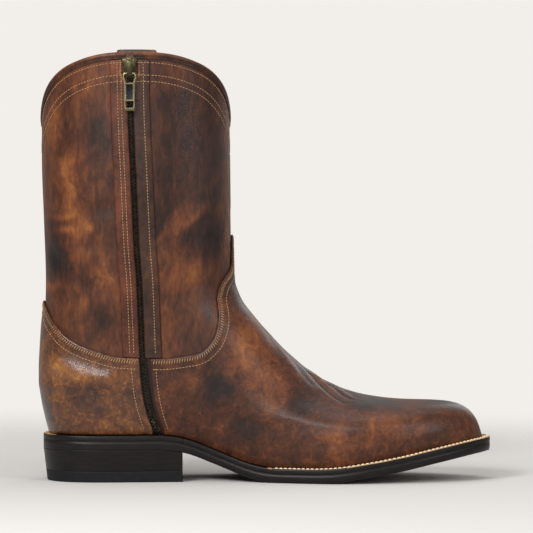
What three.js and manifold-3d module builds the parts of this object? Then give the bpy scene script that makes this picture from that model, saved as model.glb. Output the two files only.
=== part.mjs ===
// Roper boot for the left foot, in millimetres.
// +X points to the toe, +Y to the outer side of the foot, and +Z up from the floor.
// The zip is on the inner side (-Y). Lengths run from the back edge of the heel, and the
// finished group is moved so that the origin lies on the floor under the middle of the heel.
import * as THREE from 'three';
import { mergeVertices } from 'three/addons/utils/BufferGeometryUtils.js';
import Module from 'manifold-3d';

const wasm = await Module();
wasm.setup();

// Sole sizes
const SOLE_LENGTH = 305;
const BALL_WIDTH = 111;
const WAIST_WIDTH = 68;
const HEEL_WIDTH = 72;
const TOE_WIDTH = 92;
const TOE_SWING = 9;
const SOLE_THICKNESS = 6.2;
const WELT_THICKNESS = 3.2;
const WELT_REACH = 7;
const HEEL_REACH = 5.5;
const WELT_TUCK = 6.5;
const TOE_SPRING = 20;
const TREAD_START = 160;
const TREAD_END = 184;

// Heel sizes
const HEEL_HEIGHT = 22;
const HEEL_LENGTH = 94.5;
const SHANK_START = 78;
const LIFT_THICKNESS = 7.5;
const HEEL_TAPER = 2.6;
const HEEL_REST = 46;

// Upper sizes
const ANKLE_LEVEL = 103;
const ANKLE_WIDTH = 92;
const SHAFT_LEVEL = 256;
const SHAFT_WIDTH = 111;
const SHAFT_ROUND = 64;
const COLLAR_DIP = 44;
const WALL = 2.2;
const PANEL = 1.3;
const INSOLE_THICKNESS = 2.6;

// Binding, zip and strap sizes
const BINDING_DEPTH = 4.5;
const BINDING_THICKNESS = 1.1;
const SLOT_WIDTH = 5;
const TAPE_WIDTH = 4.4;
const TAPE_THICKNESS = 1.2;
const CHAIN_WIDTH = 3.8;
const CHAIN_HEIGHT = 1.7;
const FACING_WIDTH = 11;
const FACING_THICKNESS = 1.2;
const STRAP_WIDTH = 27;
const STRAP_THICKNESS = 2.2;
const STRAP_OUTER = 65;
const STRAP_INNER = 42;
const STRAP_RISE = 3.4;
const STRAP_SLACK = 3;
const STRAP_PLACE = 64;
const SIDE_SEAM = 72;

// Slider and pull tab sizes
const SLIDER_WIDTH = 10.5;
const SLIDER_LENGTH = 13.5;
const SLIDER_PLATE = 1.3;
const SLIDER_DROP = 9;
const BRIDGE_WIDTH = 2.8;
const BRIDGE_LENGTH = 12;
const BRIDGE_WALL = 1.1;
const BRIDGE_CLEAR = 2.2;
const TAB_WIDTH = 7.4;
const TAB_LENGTH = 25;
const TAB_THICKNESS = 1.2;
const TAB_BAR = 1.2;
const TAB_RAIL = 1.4;

// Clearances
const GAP = 0.3;
const LAP_GAP = 0.5;
const FEATHER_GAP = 0.5;
const FACING_GAP = 0.4;
const INSOLE_CLEAR = 0.6;
const INSOLE_TOE_CLEAR = 1.7;

// Meshing steps
const STATIONS_PER_SIDE = 26;
const TIP_PHASE = 0.012;

const LAST_LENGTH = SOLE_LENGTH - HEEL_REACH - WELT_REACH;
const SEAT = HEEL_HEIGHT + SOLE_THICKNESS + GAP + WELT_THICKNESS + FEATHER_GAP;

// Rings of the last, from the featherline up to the ankle.
// level: share of the ankle level. back: how far the ring starts from the featherline's back,
// as a share of the last's length. backRound, frontRound: length of the rounded ends, in the
// same share. The half widths of the inner and outer side are shares of the named widths.
const FOOT_COLUMNS = ['level', 'back', 'backRound', 'frontRound', 'heelIn', 'heelOut',
  'waistIn', 'waistOut', 'ballIn', 'ballOut', 'toeIn', 'toeOut'];
const FOOT_RINGS = [
  [0.000, 0.0000, 0.120, 0.212, 0.430, 0.438, 0.400, 0.455, 0.433, 0.442, 0.408, 0.408],
  [0.058, -0.0055, 0.123, 0.214, 0.455, 0.463, 0.434, 0.493, 0.452, 0.462, 0.434, 0.434],
  [0.117, -0.0106, 0.127, 0.222, 0.472, 0.481, 0.471, 0.522, 0.461, 0.474, 0.450, 0.450],
  [0.194, -0.0164, 0.130, 0.244, 0.486, 0.497, 0.507, 0.544, 0.460, 0.470, 0.450, 0.446],
  [0.272, -0.0209, 0.137, 0.282, 0.493, 0.506, 0.530, 0.559, 0.450, 0.456, 0.444, 0.438],
  [0.335, -0.0239, 0.140, 0.304, 0.500, 0.512, 0.552, 0.566, 0.436, 0.438, 0.434, 0.430],
  [0.427, -0.0239, 0.147, 0.300, 0.506, 0.518, 0.566, 0.578, 0.410, 0.408, 0.413, 0.413],
  [0.553, -0.0219, 0.157, 0.276, 0.519, 0.530, 0.581, 0.588, 0.383, 0.383, 0.413, 0.413],
  [0.699, -0.0188, 0.174, 0.250, 0.547, 0.553, 0.596, 0.596, 0.374, 0.374, 0.435, 0.435],
  [0.835, -0.0144, 0.198, 0.232, 0.594, 0.594, 0.629, 0.629, 0.385, 0.385, 0.465, 0.465],
];

// Rings of the shaft. rise: share of the way from ankle to collar. The half width is a share of
// the width between ankle and collar, 0 at the ankle and 1 at the collar.
const SHAFT_COLUMNS = ['rise', 'back', 'widening'];
const SHAFT_RINGS = [
  [0.000, -0.0130, 0.00],
  [0.264, -0.0171, 0.38],
  [0.547, -0.0219, 0.66],
  [0.780, -0.0219, 0.80],
  [1.000, -0.0219, 1.00],
];

// Front line of the last and shaft: where each ring ends, as a share of the last's length
// past the featherline's back. Levels are shares of the ankle level up to the ankle.
const FRONT_LINE = [
  [0.000, 1.0000], [0.065, 0.9930], [0.101, 0.9882], [0.136, 0.9814], [0.170, 0.9720],
  [0.201, 0.9595], [0.228, 0.9436], [0.250, 0.9240], [0.271, 0.8971], [0.294, 0.8631],
  [0.318, 0.8288], [0.361, 0.7736], [0.415, 0.7182], [0.479, 0.6694], [0.543, 0.6206],
  [0.624, 0.5652], [0.726, 0.5066], [0.818, 0.4619], [0.863, 0.4444], [0.909, 0.4337],
  [1.000, 0.4228],
];
const SHAFT_FRONT = [[0.000, 0.4228], [0.193, 0.4190], [0.400, 0.4175], [1.000, 0.4150]];

// Edge of the vamp and counter where they lap the shaft. phase: 0 at the back of the boot and
// 1 at its front. level: share of the ankle level. The last two rows are the tongue's tip.
const LAP_SEAM = [
  [0.000, 0.874], [0.060, 0.835], [0.147, 0.721], [0.203, 0.631], [0.260, 0.566],
  [0.340, 0.510], [0.425, 0.503], [0.538, 0.559], [0.622, 0.637], [0.721, 0.762],
  [0.766, 0.840], [0.797, 0.917], [0.858, 1.020], [0.930, 1.100], [0.948, 1.160],
  [0.957, 1.240], [1.000, 1.310],
];

// Line of the zip on the inner side. along: share of the last's length.
const ZIP_LINE = [
  [0.030, 0.243], [0.150, 0.229], [0.285, 0.219], [0.540, 0.211], [0.750, 0.208],
  [1.010, 0.204], [1.240, 0.198], [1.680, 0.191], [2.150, 0.184], [2.540, 0.182],
];

const FOOT_LEVELS = [0, 0.065, 0.125, 0.175, 0.22, 0.255, 0.287, 0.32, 0.361, 0.415, 0.48,
  0.56, 0.66, 0.76, 0.863, 1];
const SHAFT_SHARES = [0.25, 0.5, 0.8, 1];

// Smooth curve through rows of [place, value], with no overshoot between them
function curve(rows) {
  const slopes = rows.slice(1).map((row, i) => (row[1] - rows[i][1]) / (row[0] - rows[i][0]));
  const tangents = rows.map((row, i) => {
    if (i === 0) return slopes[0];
    if (i === rows.length - 1) return slopes[i - 1];
    const product = slopes[i - 1] * slopes[i];
    return product <= 0 ? 0 : (2 * product) / (slopes[i - 1] + slopes[i]);
  });
  return (place) => {
    if (place <= rows[0][0]) return rows[0][1];
    if (place >= rows.at(-1)[0]) return rows.at(-1)[1];
    const i = rows.findLastIndex((row) => row[0] <= place);
    const width = rows[i + 1][0] - rows[i][0];
    const t = (place - rows[i][0]) / width;
    const ease = t * t * (3 - 2 * t);
    const leave = t * (1 - t) * (1 - t) * width * tangents[i];
    const arrive = t * t * (1 - t) * width * tangents[i + 1];
    return rows[i][1] * (1 - ease) + rows[i + 1][1] * ease + leave - arrive;
  };
}

const clamp = THREE.MathUtils.clamp;
const smooth = (value) => THREE.MathUtils.smoothstep(value, 0, 1);

// Distance travelled along a ring, 0 to 1, that starts and ends slowly to round the ends
const EASE = 0.25;
const PACE = 1 / (1 - EASE);
function travel(phase) {
  if (phase < EASE) return (PACE * phase * phase) / (2 * EASE);
  if (phase > 1 - EASE) return 1 - (PACE * (1 - phase) * (1 - phase)) / (2 * EASE);
  return PACE * (phase - EASE / 2);
}

function phaseOf(share) {
  const end = (PACE * EASE) / 2;
  const place = clamp(share, 0, 1);
  if (place < end) return Math.sqrt((2 * EASE * place) / PACE);
  if (place > 1 - end) return 1 - Math.sqrt((2 * EASE * (1 - place)) / PACE);
  return place / PACE + EASE / 2;
}

// Columns of the ring tables as curves over the level in millimetres
const ringLevel = (rise) => ANKLE_LEVEL + rise * (SHAFT_LEVEL - ANKLE_LEVEL);
const NAMED_WIDTH = { heel: HEEL_WIDTH, waist: WAIST_WIDTH, ball: BALL_WIDTH, toe: TOE_WIDTH };

function ringColumn(name, footScale, shaftValue) {
  const foot = FOOT_RINGS.map((row) => [
    row[0] * ANKLE_LEVEL, row[FOOT_COLUMNS.indexOf(name)] * footScale]);
  const shaft = SHAFT_RINGS.map((row) => [ringLevel(row[0]), shaftValue(row)]);
  return curve([...foot, ...shaft]);
}

const shaftHalf = (row) => {
  const widening = row[SHAFT_COLUMNS.indexOf('widening')];
  return (ANKLE_WIDTH + widening * (SHAFT_WIDTH - ANKLE_WIDTH)) / 2;
};
const shaftBack = (row) => HEEL_REACH + row[SHAFT_COLUMNS.indexOf('back')] * LAST_LENGTH;

const backOffset = ringColumn('back', LAST_LENGTH, (row) => shaftBack(row) - HEEL_REACH);
const backOf = (level) => HEEL_REACH + backOffset(level);
const frontOf = curve([
  ...FRONT_LINE.map((row) => [row[0] * ANKLE_LEVEL, HEEL_REACH + row[1] * LAST_LENGTH]),
  ...SHAFT_FRONT.slice(1).map((row) => [ringLevel(row[0]), HEEL_REACH + row[1] * LAST_LENGTH]),
]);
const backRound = ringColumn('backRound', LAST_LENGTH, () => SHAFT_ROUND);
const frontRound = ringColumn('frontRound', LAST_LENGTH, () => SHAFT_ROUND);
const halfWidths = {};
for (const [place, width] of Object.entries(NAMED_WIDTH)) {
  for (const side of ['In', 'Out']) {
    halfWidths[place + side] = ringColumn(place + side, width, shaftHalf);
  }
}

// Where the four named widths lie along the last, as shares of its length
const WIDTH_PLACES = { heel: 0.135, waist: 0.374, ball: 0.682, toe: 0.877 };
const TIP_SHARE = 0.72;

function halfWidth(along, level, side) {
  const suffix = side < 0 ? 'In' : 'Out';
  const rows = Object.entries(WIDTH_PLACES).map(([place, share]) => [
    HEEL_REACH + share * LAST_LENGTH, halfWidths[place + suffix](level)]);
  const heelEnd = [0, rows[0][1]];
  const toeEnd = [SOLE_LENGTH, rows.at(-1)[1] * TIP_SHARE];
  return curve([heelEnd, ...rows, toeEnd])(along);
}

const ROUND_POWER = 2.3;
function closing(distance, length) {
  const rest = 1 - clamp(distance / length, 0, 1);
  return (1 - rest ** ROUND_POWER) ** (1 / ROUND_POWER);
}

const SWING_START = 0.56;
const SWING_POWER = 1.5;
function swing(along) {
  const start = SWING_START * SOLE_LENGTH;
  return -TOE_SWING * Math.max(0, (along - start) / (SOLE_LENGTH - start)) ** SWING_POWER;
}

// Plan outline of one ring, grown outwards by its own amount at heel and toe
function outline(share, level, side, heelGrow = 0, toeGrow = 0) {
  const back = backOf(level) - heelGrow;
  const front = frontOf(level) + toeGrow;
  const along = back + (front - back) * share;
  const grow = heelGrow + (toeGrow - heelGrow) * smooth((along - SHANK_START) / SHANK_START);
  const half = (halfWidth(along, level, side) + grow)
    * closing(along - back, backRound(level) + heelGrow)
    * closing(front - along, frontRound(level) + toeGrow);
  return new THREE.Vector2(along, swing(along) + side * half);
}

// Underside of the sole: flat under the heel, falling through the shank, flat under the ball,
// and rising to the toe
const SPRING_RISE = [[0, 0], [0.10, 0.035], [0.23, 0.145], [0.46, 0.385], [0.68, 0.67], [0.90, 0.92],
  [1, 1]];
const springCurve = curve(SPRING_RISE);
const SHANK_EASE = 0.35;
function shankFall(along) {
  const t = clamp((along - SHANK_START) / (TREAD_START - SHANK_START), 0, 1);
  const pace = 1 / (1 - SHANK_EASE);
  if (t < SHANK_EASE) return (pace * t * t) / (2 * SHANK_EASE);
  if (t > 1 - SHANK_EASE) return 1 - (pace * (1 - t) * (1 - t)) / (2 * SHANK_EASE);
  return pace * (t - SHANK_EASE / 2);
}

function treadHeight(along) {
  const toe = springCurve((along - TREAD_END) / (SOLE_LENGTH - TREAD_END));
  return HEEL_HEIGHT * (1 - shankFall(along)) + TOE_SPRING * toe;
}
const soleTop = (along) => treadHeight(along) + SOLE_THICKNESS;
const weltBottom = (along) => soleTop(along) + GAP;
const weltTop = (along) => weltBottom(along) + WELT_THICKNESS;
const featherHeight = (along) => weltTop(along) + FEATHER_GAP;

// The rings follow the sole low down and lie level above the instep
const LEVEL_FROM = 0.44;
const LEVEL_TO = 0.97;
function ringHeight(along, level) {
  const rise = level / ANKLE_LEVEL;
  const follow = 1 - smooth((rise - LEVEL_FROM) / (LEVEL_TO - LEVEL_FROM));
  return SEAT + level + (featherHeight(along) - SEAT) * follow;
}

// The outer face of the boot: turn runs 0 to 1 round the boot from the back, by the inner
// side, to the front at one half and home by the outer side
function surface(turn, level) {
  const wrapped = turn - Math.floor(turn);
  const inner = wrapped <= 0.5;
  const share = travel(inner ? wrapped * 2 : 2 - wrapped * 2);
  const plan = outline(share, level, inner ? -1 : 1);
  return new THREE.Vector3(plan.x, plan.y, ringHeight(plan.x, level));
}

const NORMAL_TURN = 0.004;
const NORMAL_LEVEL = 0.8;
const SOFT_LEVEL = 10;
function normalAt(turn, level) {
  const across = surface(turn + NORMAL_TURN, level).sub(surface(turn - NORMAL_TURN, level));
  const middle = Math.max(level, 0);
  const low = Math.max(middle - NORMAL_LEVEL, 0);
  const up = surface(turn, middle + NORMAL_LEVEL).sub(surface(turn, low));
  const normal = across.cross(up);
  normal.z *= smooth(level / SOFT_LEVEL);
  return normal.normalize();
}

function skin(turn, level, offset) {
  return surface(turn, level).addScaledVector(normalAt(turn, level), offset);
}

// Height of the scalloped collar over the seat: peaks at the sides, dips at front and back
const SCALLOP_POWER = 2.65;
function collarLevel(turn) {
  const quarter = (turn - Math.floor(turn)) * 4;
  const fromSide = Math.abs(1 - (quarter % 2));
  return SHAFT_LEVEL - COLLAR_DIP * fromSide ** SCALLOP_POWER;
}

// Levels of the mesh at one turn: fixed up to the ankle, then shared out up to the collar
function levelsAt(turn) {
  const foot = FOOT_LEVELS.map((share) => share * ANKLE_LEVEL);
  const rise = collarLevel(turn) - ANKLE_LEVEL;
  return [...foot, ...SHAFT_SHARES.map((share) => ANKLE_LEVEL + share * rise)];
}

// Closed body from points and triangles, its faces turned outwards
function body(points, triangles) {
  let volume = 0;
  for (const [a, b, c] of triangles) {
    volume += points[a].dot(points[b].clone().cross(points[c]));
  }
  const faces = volume < 0 ? triangles.map(([a, b, c]) => [a, c, b]) : triangles;
  const geometry = new THREE.BufferGeometry();
  geometry.setAttribute('position', new THREE.Float32BufferAttribute(
    points.flatMap((point) => point.toArray()), 3));
  geometry.setIndex(faces.flat());
  return geometry;
}

// Loft through sections, each a loop of the same number of points
function loft(sections, closed = false) {
  const count = sections[0].length;
  const points = sections.flat();
  const triangles = [];
  const spans = closed ? sections.length : sections.length - 1;
  for (let i = 0; i < spans; i += 1) {
    const here = i * count;
    const next = ((i + 1) % sections.length) * count;
    for (let j = 0; j < count; j += 1) {
      const k = (j + 1) % count;
      triangles.push([here + j, next + j, next + k], [here + j, next + k, here + k]);
    }
  }
  if (!closed) {
    const last = (sections.length - 1) * count;
    for (const [p, q, r] of capTriangles(sections[0])) triangles.push([p, q, r]);
    for (const [p, q, r] of capTriangles(sections.at(-1))) {
      triangles.push([last + p, last + r, last + q]);
    }
  }
  return body(points, triangles);
}

// Triangles that close an end section, worked out in the section's own plane
function capTriangles(section) {
  const normal = new THREE.Vector3();
  section.forEach((point, i) => {
    const next = section[(i + 1) % section.length];
    normal.add(point.clone().sub(section[0]).cross(next.clone().sub(section[0])));
  });
  normal.normalize();
  const right = section[1].clone().sub(section[0]).normalize();
  const up = normal.clone().cross(right);
  const flat = section.map((point) => new THREE.Vector2(point.dot(right), point.dot(up)));
  return THREE.ShapeUtils.triangulateShape(flat, []);
}

function toManifold(geometry) {
  const plain = geometry.clone();
  plain.deleteAttribute('normal');
  plain.deleteAttribute('uv');
  const merged = mergeVertices(plain, 1e-4);
  return new wasm.Manifold(new wasm.Mesh({
    numProp: 3,
    vertProperties: new Float32Array(merged.attributes.position.array),
    triVerts: new Uint32Array(merged.index.array),
  }));
}

function toGeometry(manifold) {
  const mesh = manifold.getMesh();
  const geometry = new THREE.BufferGeometry();
  geometry.setAttribute('position', new THREE.BufferAttribute(
    new Float32Array(mesh.vertProperties), 3));
  geometry.setIndex(new THREE.BufferAttribute(new Uint32Array(mesh.triVerts), 1));
  return geometry;
}

// Turns of the mesh lines round the boot, from the back
const TURNS = Array.from({ length: STATIONS_PER_SIDE * 2 },
  (_, i) => i / (STATIONS_PER_SIDE * 2));

// Shell between two offsets of the boot's outer face, from the featherline to the collar
function shell(outer, inner) {
  return loft(TURNS.map((turn) => {
    const levels = levelsAt(turn);
    const outside = levels.map((level) => skin(turn, level, outer));
    const inside = levels.map((level) => skin(turn, level, inner));
    return [...outside, ...inside.reverse()];
  }), true);
}

// Block that cuts a panel out of a shell: it follows the boot's face between two levels at
// each turn of the list, and stands well clear of the face on both sides
const CUTTER_DEPTH = 4;
const CUTTER_ROWS = 14;
function cutter(turns, lowAt, highAt) {
  return toManifold(loft(turns.map((turn) => {
    const low = lowAt(turn);
    const high = highAt(turn);
    const levels = Array.from({ length: CUTTER_ROWS + 1 },
      (_, i) => low + ((high - low) * i) / CUTTER_ROWS);
    const outside = levels.map((level) => skin(turn, level, CUTTER_DEPTH));
    const inside = levels.map((level) => skin(turn, level, -CUTTER_DEPTH));
    return [...outside, ...inside.reverse()];
  })));
}

// Line of the zip, and the turn at a distance beside it
const zipCurve = curve(ZIP_LINE.map(([level, along]) => [
  level * ANKLE_LEVEL, HEEL_REACH + along * LAST_LENGTH]));

function turnNearZip(level, beside) {
  const back = backOf(level);
  const share = (zipCurve(level) + beside - back) / (frontOf(level) - back);
  return phaseOf(share) / 2;
}

const evenly = (from, to, steps) => Array.from({ length: steps + 1 },
  (_, i) => from + ((to - from) * i) / steps);

// Band that follows the boot's face through a list of levels, between two distances beside a
// line whose turn at each level and distance is given
function band(levels, turnAt, from, to, outer, inner, steps = 1) {
  const places = evenly(from, to, steps);
  return loft(levels.map((level) => {
    const outside = places.map((beside) => skin(turnAt(level, beside), level, outer));
    const inside = places.map((beside) => skin(turnAt(level, beside), level, inner));
    return [...outside, ...inside.reverse()];
  }));
}

function zipBand(levels, from, to, outer, inner) {
  return band(levels, turnNearZip, from, to, outer, inner);
}

const BELOW = -6;
const ABOVE = 12;
const ZIP_FOOT = 2;
const TAPE_FOOT = 3;
const zipTurn = turnNearZip(SHAFT_LEVEL, 0);
const zipTop = collarLevel(zipTurn);
const slotLevels = [BELOW, ...evenly(ZIP_FOOT, ANKLE_LEVEL, 9),
  ...evenly(ANKLE_LEVEL, zipTop, 6).slice(1), zipTop + ABOVE];

// Upper: one hollow shell, open underneath and at the collar, slit along the zip
function upper() {
  const whole = toManifold(shell(0, -WALL));
  const slot = toManifold(zipBand(slotLevels.slice(1), -SLOT_WIDTH / 2, SLOT_WIDTH / 2,
    CUTTER_DEPTH, -CUTTER_DEPTH));
  return toGeometry(whole.subtract(slot));
}

// Vamp and counter: one lap of leather over the foot, parted at the zip and at the side seam
const lapCurve = curve(LAP_SEAM.map(([phase, level]) => [phase, level * ANKLE_LEVEL]));
const phaseAt = (turn) => {
  const wrapped = turn - Math.floor(turn);
  return wrapped <= 0.5 ? wrapped * 2 : 2 - wrapped * 2;
};
const lapLevel = (turn) => lapCurve(phaseAt(turn));
const LAP_STEPS = 60;
const SPARE_TURN = 0.02;
const COUNTER_REACH = 0.056;
const SPARE_SHARE = 0.15;
const SPARE_STEPS = 9;

function turnNearSeam(level, beside) {
  const back = backOf(level);
  const share = (SIDE_SEAM + beside - back) / (frontOf(level) - back);
  return 1 - phaseOf(share) / 2;
}

const zipFoot = turnNearZip(ZIP_FOOT, 0);
const seamFoot = turnNearSeam(ZIP_FOOT, 0);
const lapLevels = [BELOW, ...evenly(ZIP_FOOT, ANKLE_LEVEL, 14)];

// direction: 1 for the panel in front of the zip and seam, -1 for the one behind them
function lapPanel(fromTurn, toTurn, direction) {
  const lap = toManifold(shell(LAP_GAP + PANEL, LAP_GAP));
  const region = cutter(evenly(fromTurn, toTurn, LAP_STEPS), () => BELOW, lapLevel);
  const spare = (turnAt, edge) => toManifold(band(lapLevels, turnAt, direction * edge,
    -direction * SPARE_SHARE * SOLE_LENGTH, CUTTER_DEPTH, -CUTTER_DEPTH, SPARE_STEPS));
  const beyondZip = spare(turnNearZip, SLOT_WIDTH / 2);
  const beyondSeam = spare(turnNearSeam, GAP / 2);
  return toGeometry(lap.intersect(region).subtract(beyondZip).subtract(beyondSeam));
}

const vamp = () => lapPanel(zipFoot - SPARE_TURN, seamFoot + SPARE_TURN, 1);
const counter = () => lapPanel(seamFoot - COUNTER_REACH, 1 + zipFoot + COUNTER_REACH, -1);

// Welt in front and heel rand behind: two bent strips between the sole and the upper
const SHANK_PHASE = phaseOf(HEEL_LENGTH / SOLE_LENGTH);
const RAND_GAP_PHASE = 0.001;

function edgeStrip(phases) {
  return loft(phases.map(([phase, side]) => {
    const out = outline(travel(phase), 0, side, HEEL_REACH, WELT_REACH);
    const tuck = outline(travel(phase), 0, side, -WELT_TUCK, -WELT_TUCK);
    return [
      new THREE.Vector3(out.x, out.y, weltBottom(out.x)),
      new THREE.Vector3(out.x, out.y, weltTop(out.x)),
      new THREE.Vector3(tuck.x, tuck.y, weltTop(tuck.x)),
      new THREE.Vector3(tuck.x, tuck.y, weltBottom(tuck.x)),
    ];
  }));
}

const SOLE_PHASES = [...evenly(0, 1, STATIONS_PER_SIDE * 2),
  ...[HEEL_LENGTH, TREAD_START, TREAD_END].map((along) => phaseOf(along / SOLE_LENGTH))]
  .sort((a, b) => a - b);

function roundPhases(from, to) {
  const between = SOLE_PHASES.filter((phase) => (phase - from) * (phase - to) < 0);
  if (to < from) between.reverse();
  const side = [from, ...between];
  const home = side.slice().reverse();
  return [...side.map((phase) => [phase, -1]), [to, -1], ...home.map((phase) => [phase, 1])];
}

const welt = () => edgeStrip(roundPhases(SHANK_PHASE + RAND_GAP_PHASE, 1));
const heelRand = () => edgeStrip(roundPhases(SHANK_PHASE - RAND_GAP_PHASE, 0));

// Plate across the foot through a list of places, between two heights and two outlines
function plate(places, lower, upper, lowHeight, highHeight) {
  return loft(places.map((place) => {
    const corners = [];
    for (const side of [-1, 1]) {
      const low = lower(place, side);
      const high = upper(place, side);
      corners.push([
        new THREE.Vector3(low.x, low.y, lowHeight(low.x)),
        new THREE.Vector3(high.x, high.y, highHeight(high.x)),
      ]);
    }
    const [inner, outer] = corners;
    return [inner[0], outer[0], outer[1], inner[1]];
  }));
}

// Phases between two ends, blunt at the tips so that each end closes with a small flat
function bluntPhases(from, to) {
  const inside = SOLE_PHASES.filter((phase) => phase > from && phase < to);
  return [Math.max(from, TIP_PHASE), ...inside, Math.min(to, 1 - TIP_PHASE)];
}

const soleOutline = (place, side) => outline(place, 0, side, HEEL_REACH, WELT_REACH);

// Outsole: stations round its ends, with one at each end of the flat tread
function outsole() {
  const places = bluntPhases(0, 1).map(travel);
  return plate(places, soleOutline, soleOutline, treadHeight, soleTop);
}

// Heel: stacked leather block and rubber lift, tapered down from the sole's outline
const heelPlaces = bluntPhases(0, SHANK_PHASE).map(travel);

function taperedOutline(height) {
  const inset = HEEL_TAPER * (1 - height / HEEL_HEIGHT);
  return (place, side) => {
    const edge = outline(place, 0, side, HEEL_REACH - inset, WELT_REACH);
    return edge.setX(Math.min(edge.x, HEEL_LENGTH));
  };
}

function heelStack() {
  return plate(heelPlaces, taperedOutline(LIFT_THICKNESS), taperedOutline(HEEL_HEIGHT),
    () => LIFT_THICKNESS, (along) => treadHeight(along) - GAP);
}

function topLift() {
  return plate(heelPlaces, taperedOutline(0), taperedOutline(LIFT_THICKNESS),
    () => 0, () => LIFT_THICKNESS);
}

// Insole: lies on the tucked edge of the welt and rand, inside the upper
function insole() {
  const edge = (place, side) => outline(place, 0, side, -WALL - INSOLE_CLEAR,
    -WALL - INSOLE_TOE_CLEAR);
  const places = bluntPhases(0, 1).map(travel);
  const under = (along) => weltTop(along) + GAP;
  return plate(places, edge, edge, under, (along) => under(along) + INSOLE_THICKNESS);
}

// Zip: tape in the slit, chain on the tape, and a leather facing on each side
const TAPE_TOP = -0.6;
const FACING_STEPS = 9;
const chainTopLevel = zipTop - SLIDER_DROP - SLIDER_LENGTH / 2 - GAP;
const tapeLevels = [TAPE_FOOT, ...slotLevels.filter((level) => level > TAPE_FOOT
  && level < zipTop - BINDING_DEPTH), zipTop - BINDING_DEPTH];

function zipTape() {
  return zipBand(tapeLevels, -TAPE_WIDTH / 2, TAPE_WIDTH / 2, TAPE_TOP, TAPE_TOP - TAPE_THICKNESS);
}

function zipChain() {
  const levels = [...tapeLevels.filter((level) => level < chainTopLevel), chainTopLevel];
  return zipBand(levels, -CHAIN_WIDTH / 2, CHAIN_WIDTH / 2, TAPE_TOP + GAP + CHAIN_HEIGHT,
    TAPE_TOP + GAP);
}

function zipFacing(direction) {
  const near = (direction * SLOT_WIDTH) / 2;
  const far = direction * (SLOT_WIDTH / 2 + FACING_WIDTH);
  const farTurn = turnNearZip(SHAFT_LEVEL, far);
  const top = Math.min(zipTop, collarLevel(farTurn)) - BINDING_DEPTH - GAP;
  const farFoot = turnNearZip(lapLevel(zipTurn), far);
  const foot = Math.max(lapLevel(zipTurn), lapLevel(farFoot)) + GAP;
  const levels = evenly(foot, top, FACING_STEPS);
  return band(levels, turnNearZip, near, far, FACING_GAP + FACING_THICKNESS, FACING_GAP, 2);
}

// Collar binding: a folded strip over the rim, from one side of the zip round to the other
const BINDING_OUTER = GAP + BINDING_THICKNESS;
const rimTurns = [turnNearZip(zipTop, SLOT_WIDTH / 2),
  ...TURNS.map((turn) => (turn < zipTurn ? turn + 1 : turn)).sort((a, b) => a - b)
    .filter((turn) => turn > turnNearZip(zipTop, SLOT_WIDTH)
      && turn < 1 + turnNearZip(zipTop, -SLOT_WIDTH)),
  1 + turnNearZip(zipTop, -SLOT_WIDTH / 2)];

function overRim(turn, offset, lift) {
  const level = collarLevel(turn);
  if (lift < 0) return skin(turn, level + lift, offset);
  const point = skin(turn, level, offset);
  return point.setZ(point.z + lift);
}

function collarBinding() {
  const inside = -WALL - GAP;
  return loft(rimTurns.map((turn) => [
    overRim(turn, BINDING_OUTER, -BINDING_DEPTH),
    overRim(turn, BINDING_OUTER, BINDING_OUTER),
    overRim(turn, inside - BINDING_THICKNESS, BINDING_OUTER),
    overRim(turn, inside - BINDING_THICKNESS, -BINDING_DEPTH),
    overRim(turn, inside, -BINDING_DEPTH),
    overRim(turn, inside, GAP),
    overRim(turn, GAP, GAP),
    overRim(turn, GAP, -BINDING_DEPTH),
  ]));
}

// Pull strap: one strap folded over the rim on the outer side, its ends sewn to the shaft
const STRAP_ACROSS = 4;
const STRAP_STEPS = 8;
const STRAP_FOLD = 5;
const SLACK_PACE = 1.6;
const SEAT_PACE = 2;
const HOME_PACE = 1.5;
const strapTurn = 1 - phaseOf((STRAP_PLACE - backOf(SHAFT_LEVEL))
  / (frontOf(SHAFT_LEVEL) - backOf(SHAFT_LEVEL))) / 2;
const STRAP_PROBE = 0.01;
const strapSpan = (2 * STRAP_PROBE * STRAP_WIDTH) / surface(strapTurn + STRAP_PROBE, SHAFT_LEVEL)
  .distanceTo(surface(strapTurn - STRAP_PROBE, SHAFT_LEVEL));

function strapRoute() {
  const outerSeat = BINDING_OUTER + GAP;
  const innerSeat = -WALL - BINDING_OUTER - GAP;
  const route = [];
  for (let i = 0; i <= STRAP_STEPS; i += 1) {
    const t = i / STRAP_STEPS;
    const slack = STRAP_SLACK * smooth(t * SLACK_PACE);
    route.push([GAP + (outerSeat - GAP) * smooth(t * SEAT_PACE) + slack, -STRAP_OUTER * (1 - t)]);
  }
  const middle = (outerSeat + STRAP_SLACK + innerSeat) / 2;
  const radius = (outerSeat + STRAP_SLACK - innerSeat) / 2;
  for (let i = 0; i <= STRAP_FOLD; i += 1) {
    const angle = (Math.PI * i) / STRAP_FOLD;
    route.push([middle + radius * Math.cos(angle),
      BINDING_OUTER + GAP + STRAP_RISE * Math.sin(angle)]);
  }
  for (let i = 0; i <= STRAP_STEPS / 2; i += 1) {
    const t = i / (STRAP_STEPS / 2);
    route.push([innerSeat + (-WALL - GAP - innerSeat) * smooth(t * HOME_PACE), -STRAP_INNER * t]);
  }
  return route;
}

function pullStrap() {
  const route = strapRoute();
  const turns = evenly(strapTurn - strapSpan / 2, strapTurn + strapSpan / 2, STRAP_ACROSS);
  return loft(route.map(([offset, lift], i) => {
    const before = route[Math.max(i - 1, 0)];
    const after = route[Math.min(i + 1, route.length - 1)];
    const along = new THREE.Vector2(after[0] - before[0], after[1] - before[1]).normalize();
    const face = turns.map((turn) => overRim(turn, offset, lift));
    const back = turns.map((turn) => overRim(turn, offset + along.y * STRAP_THICKNESS,
      lift - along.x * STRAP_THICKNESS));
    return [...face, ...back.reverse()];
  }));
}

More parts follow.
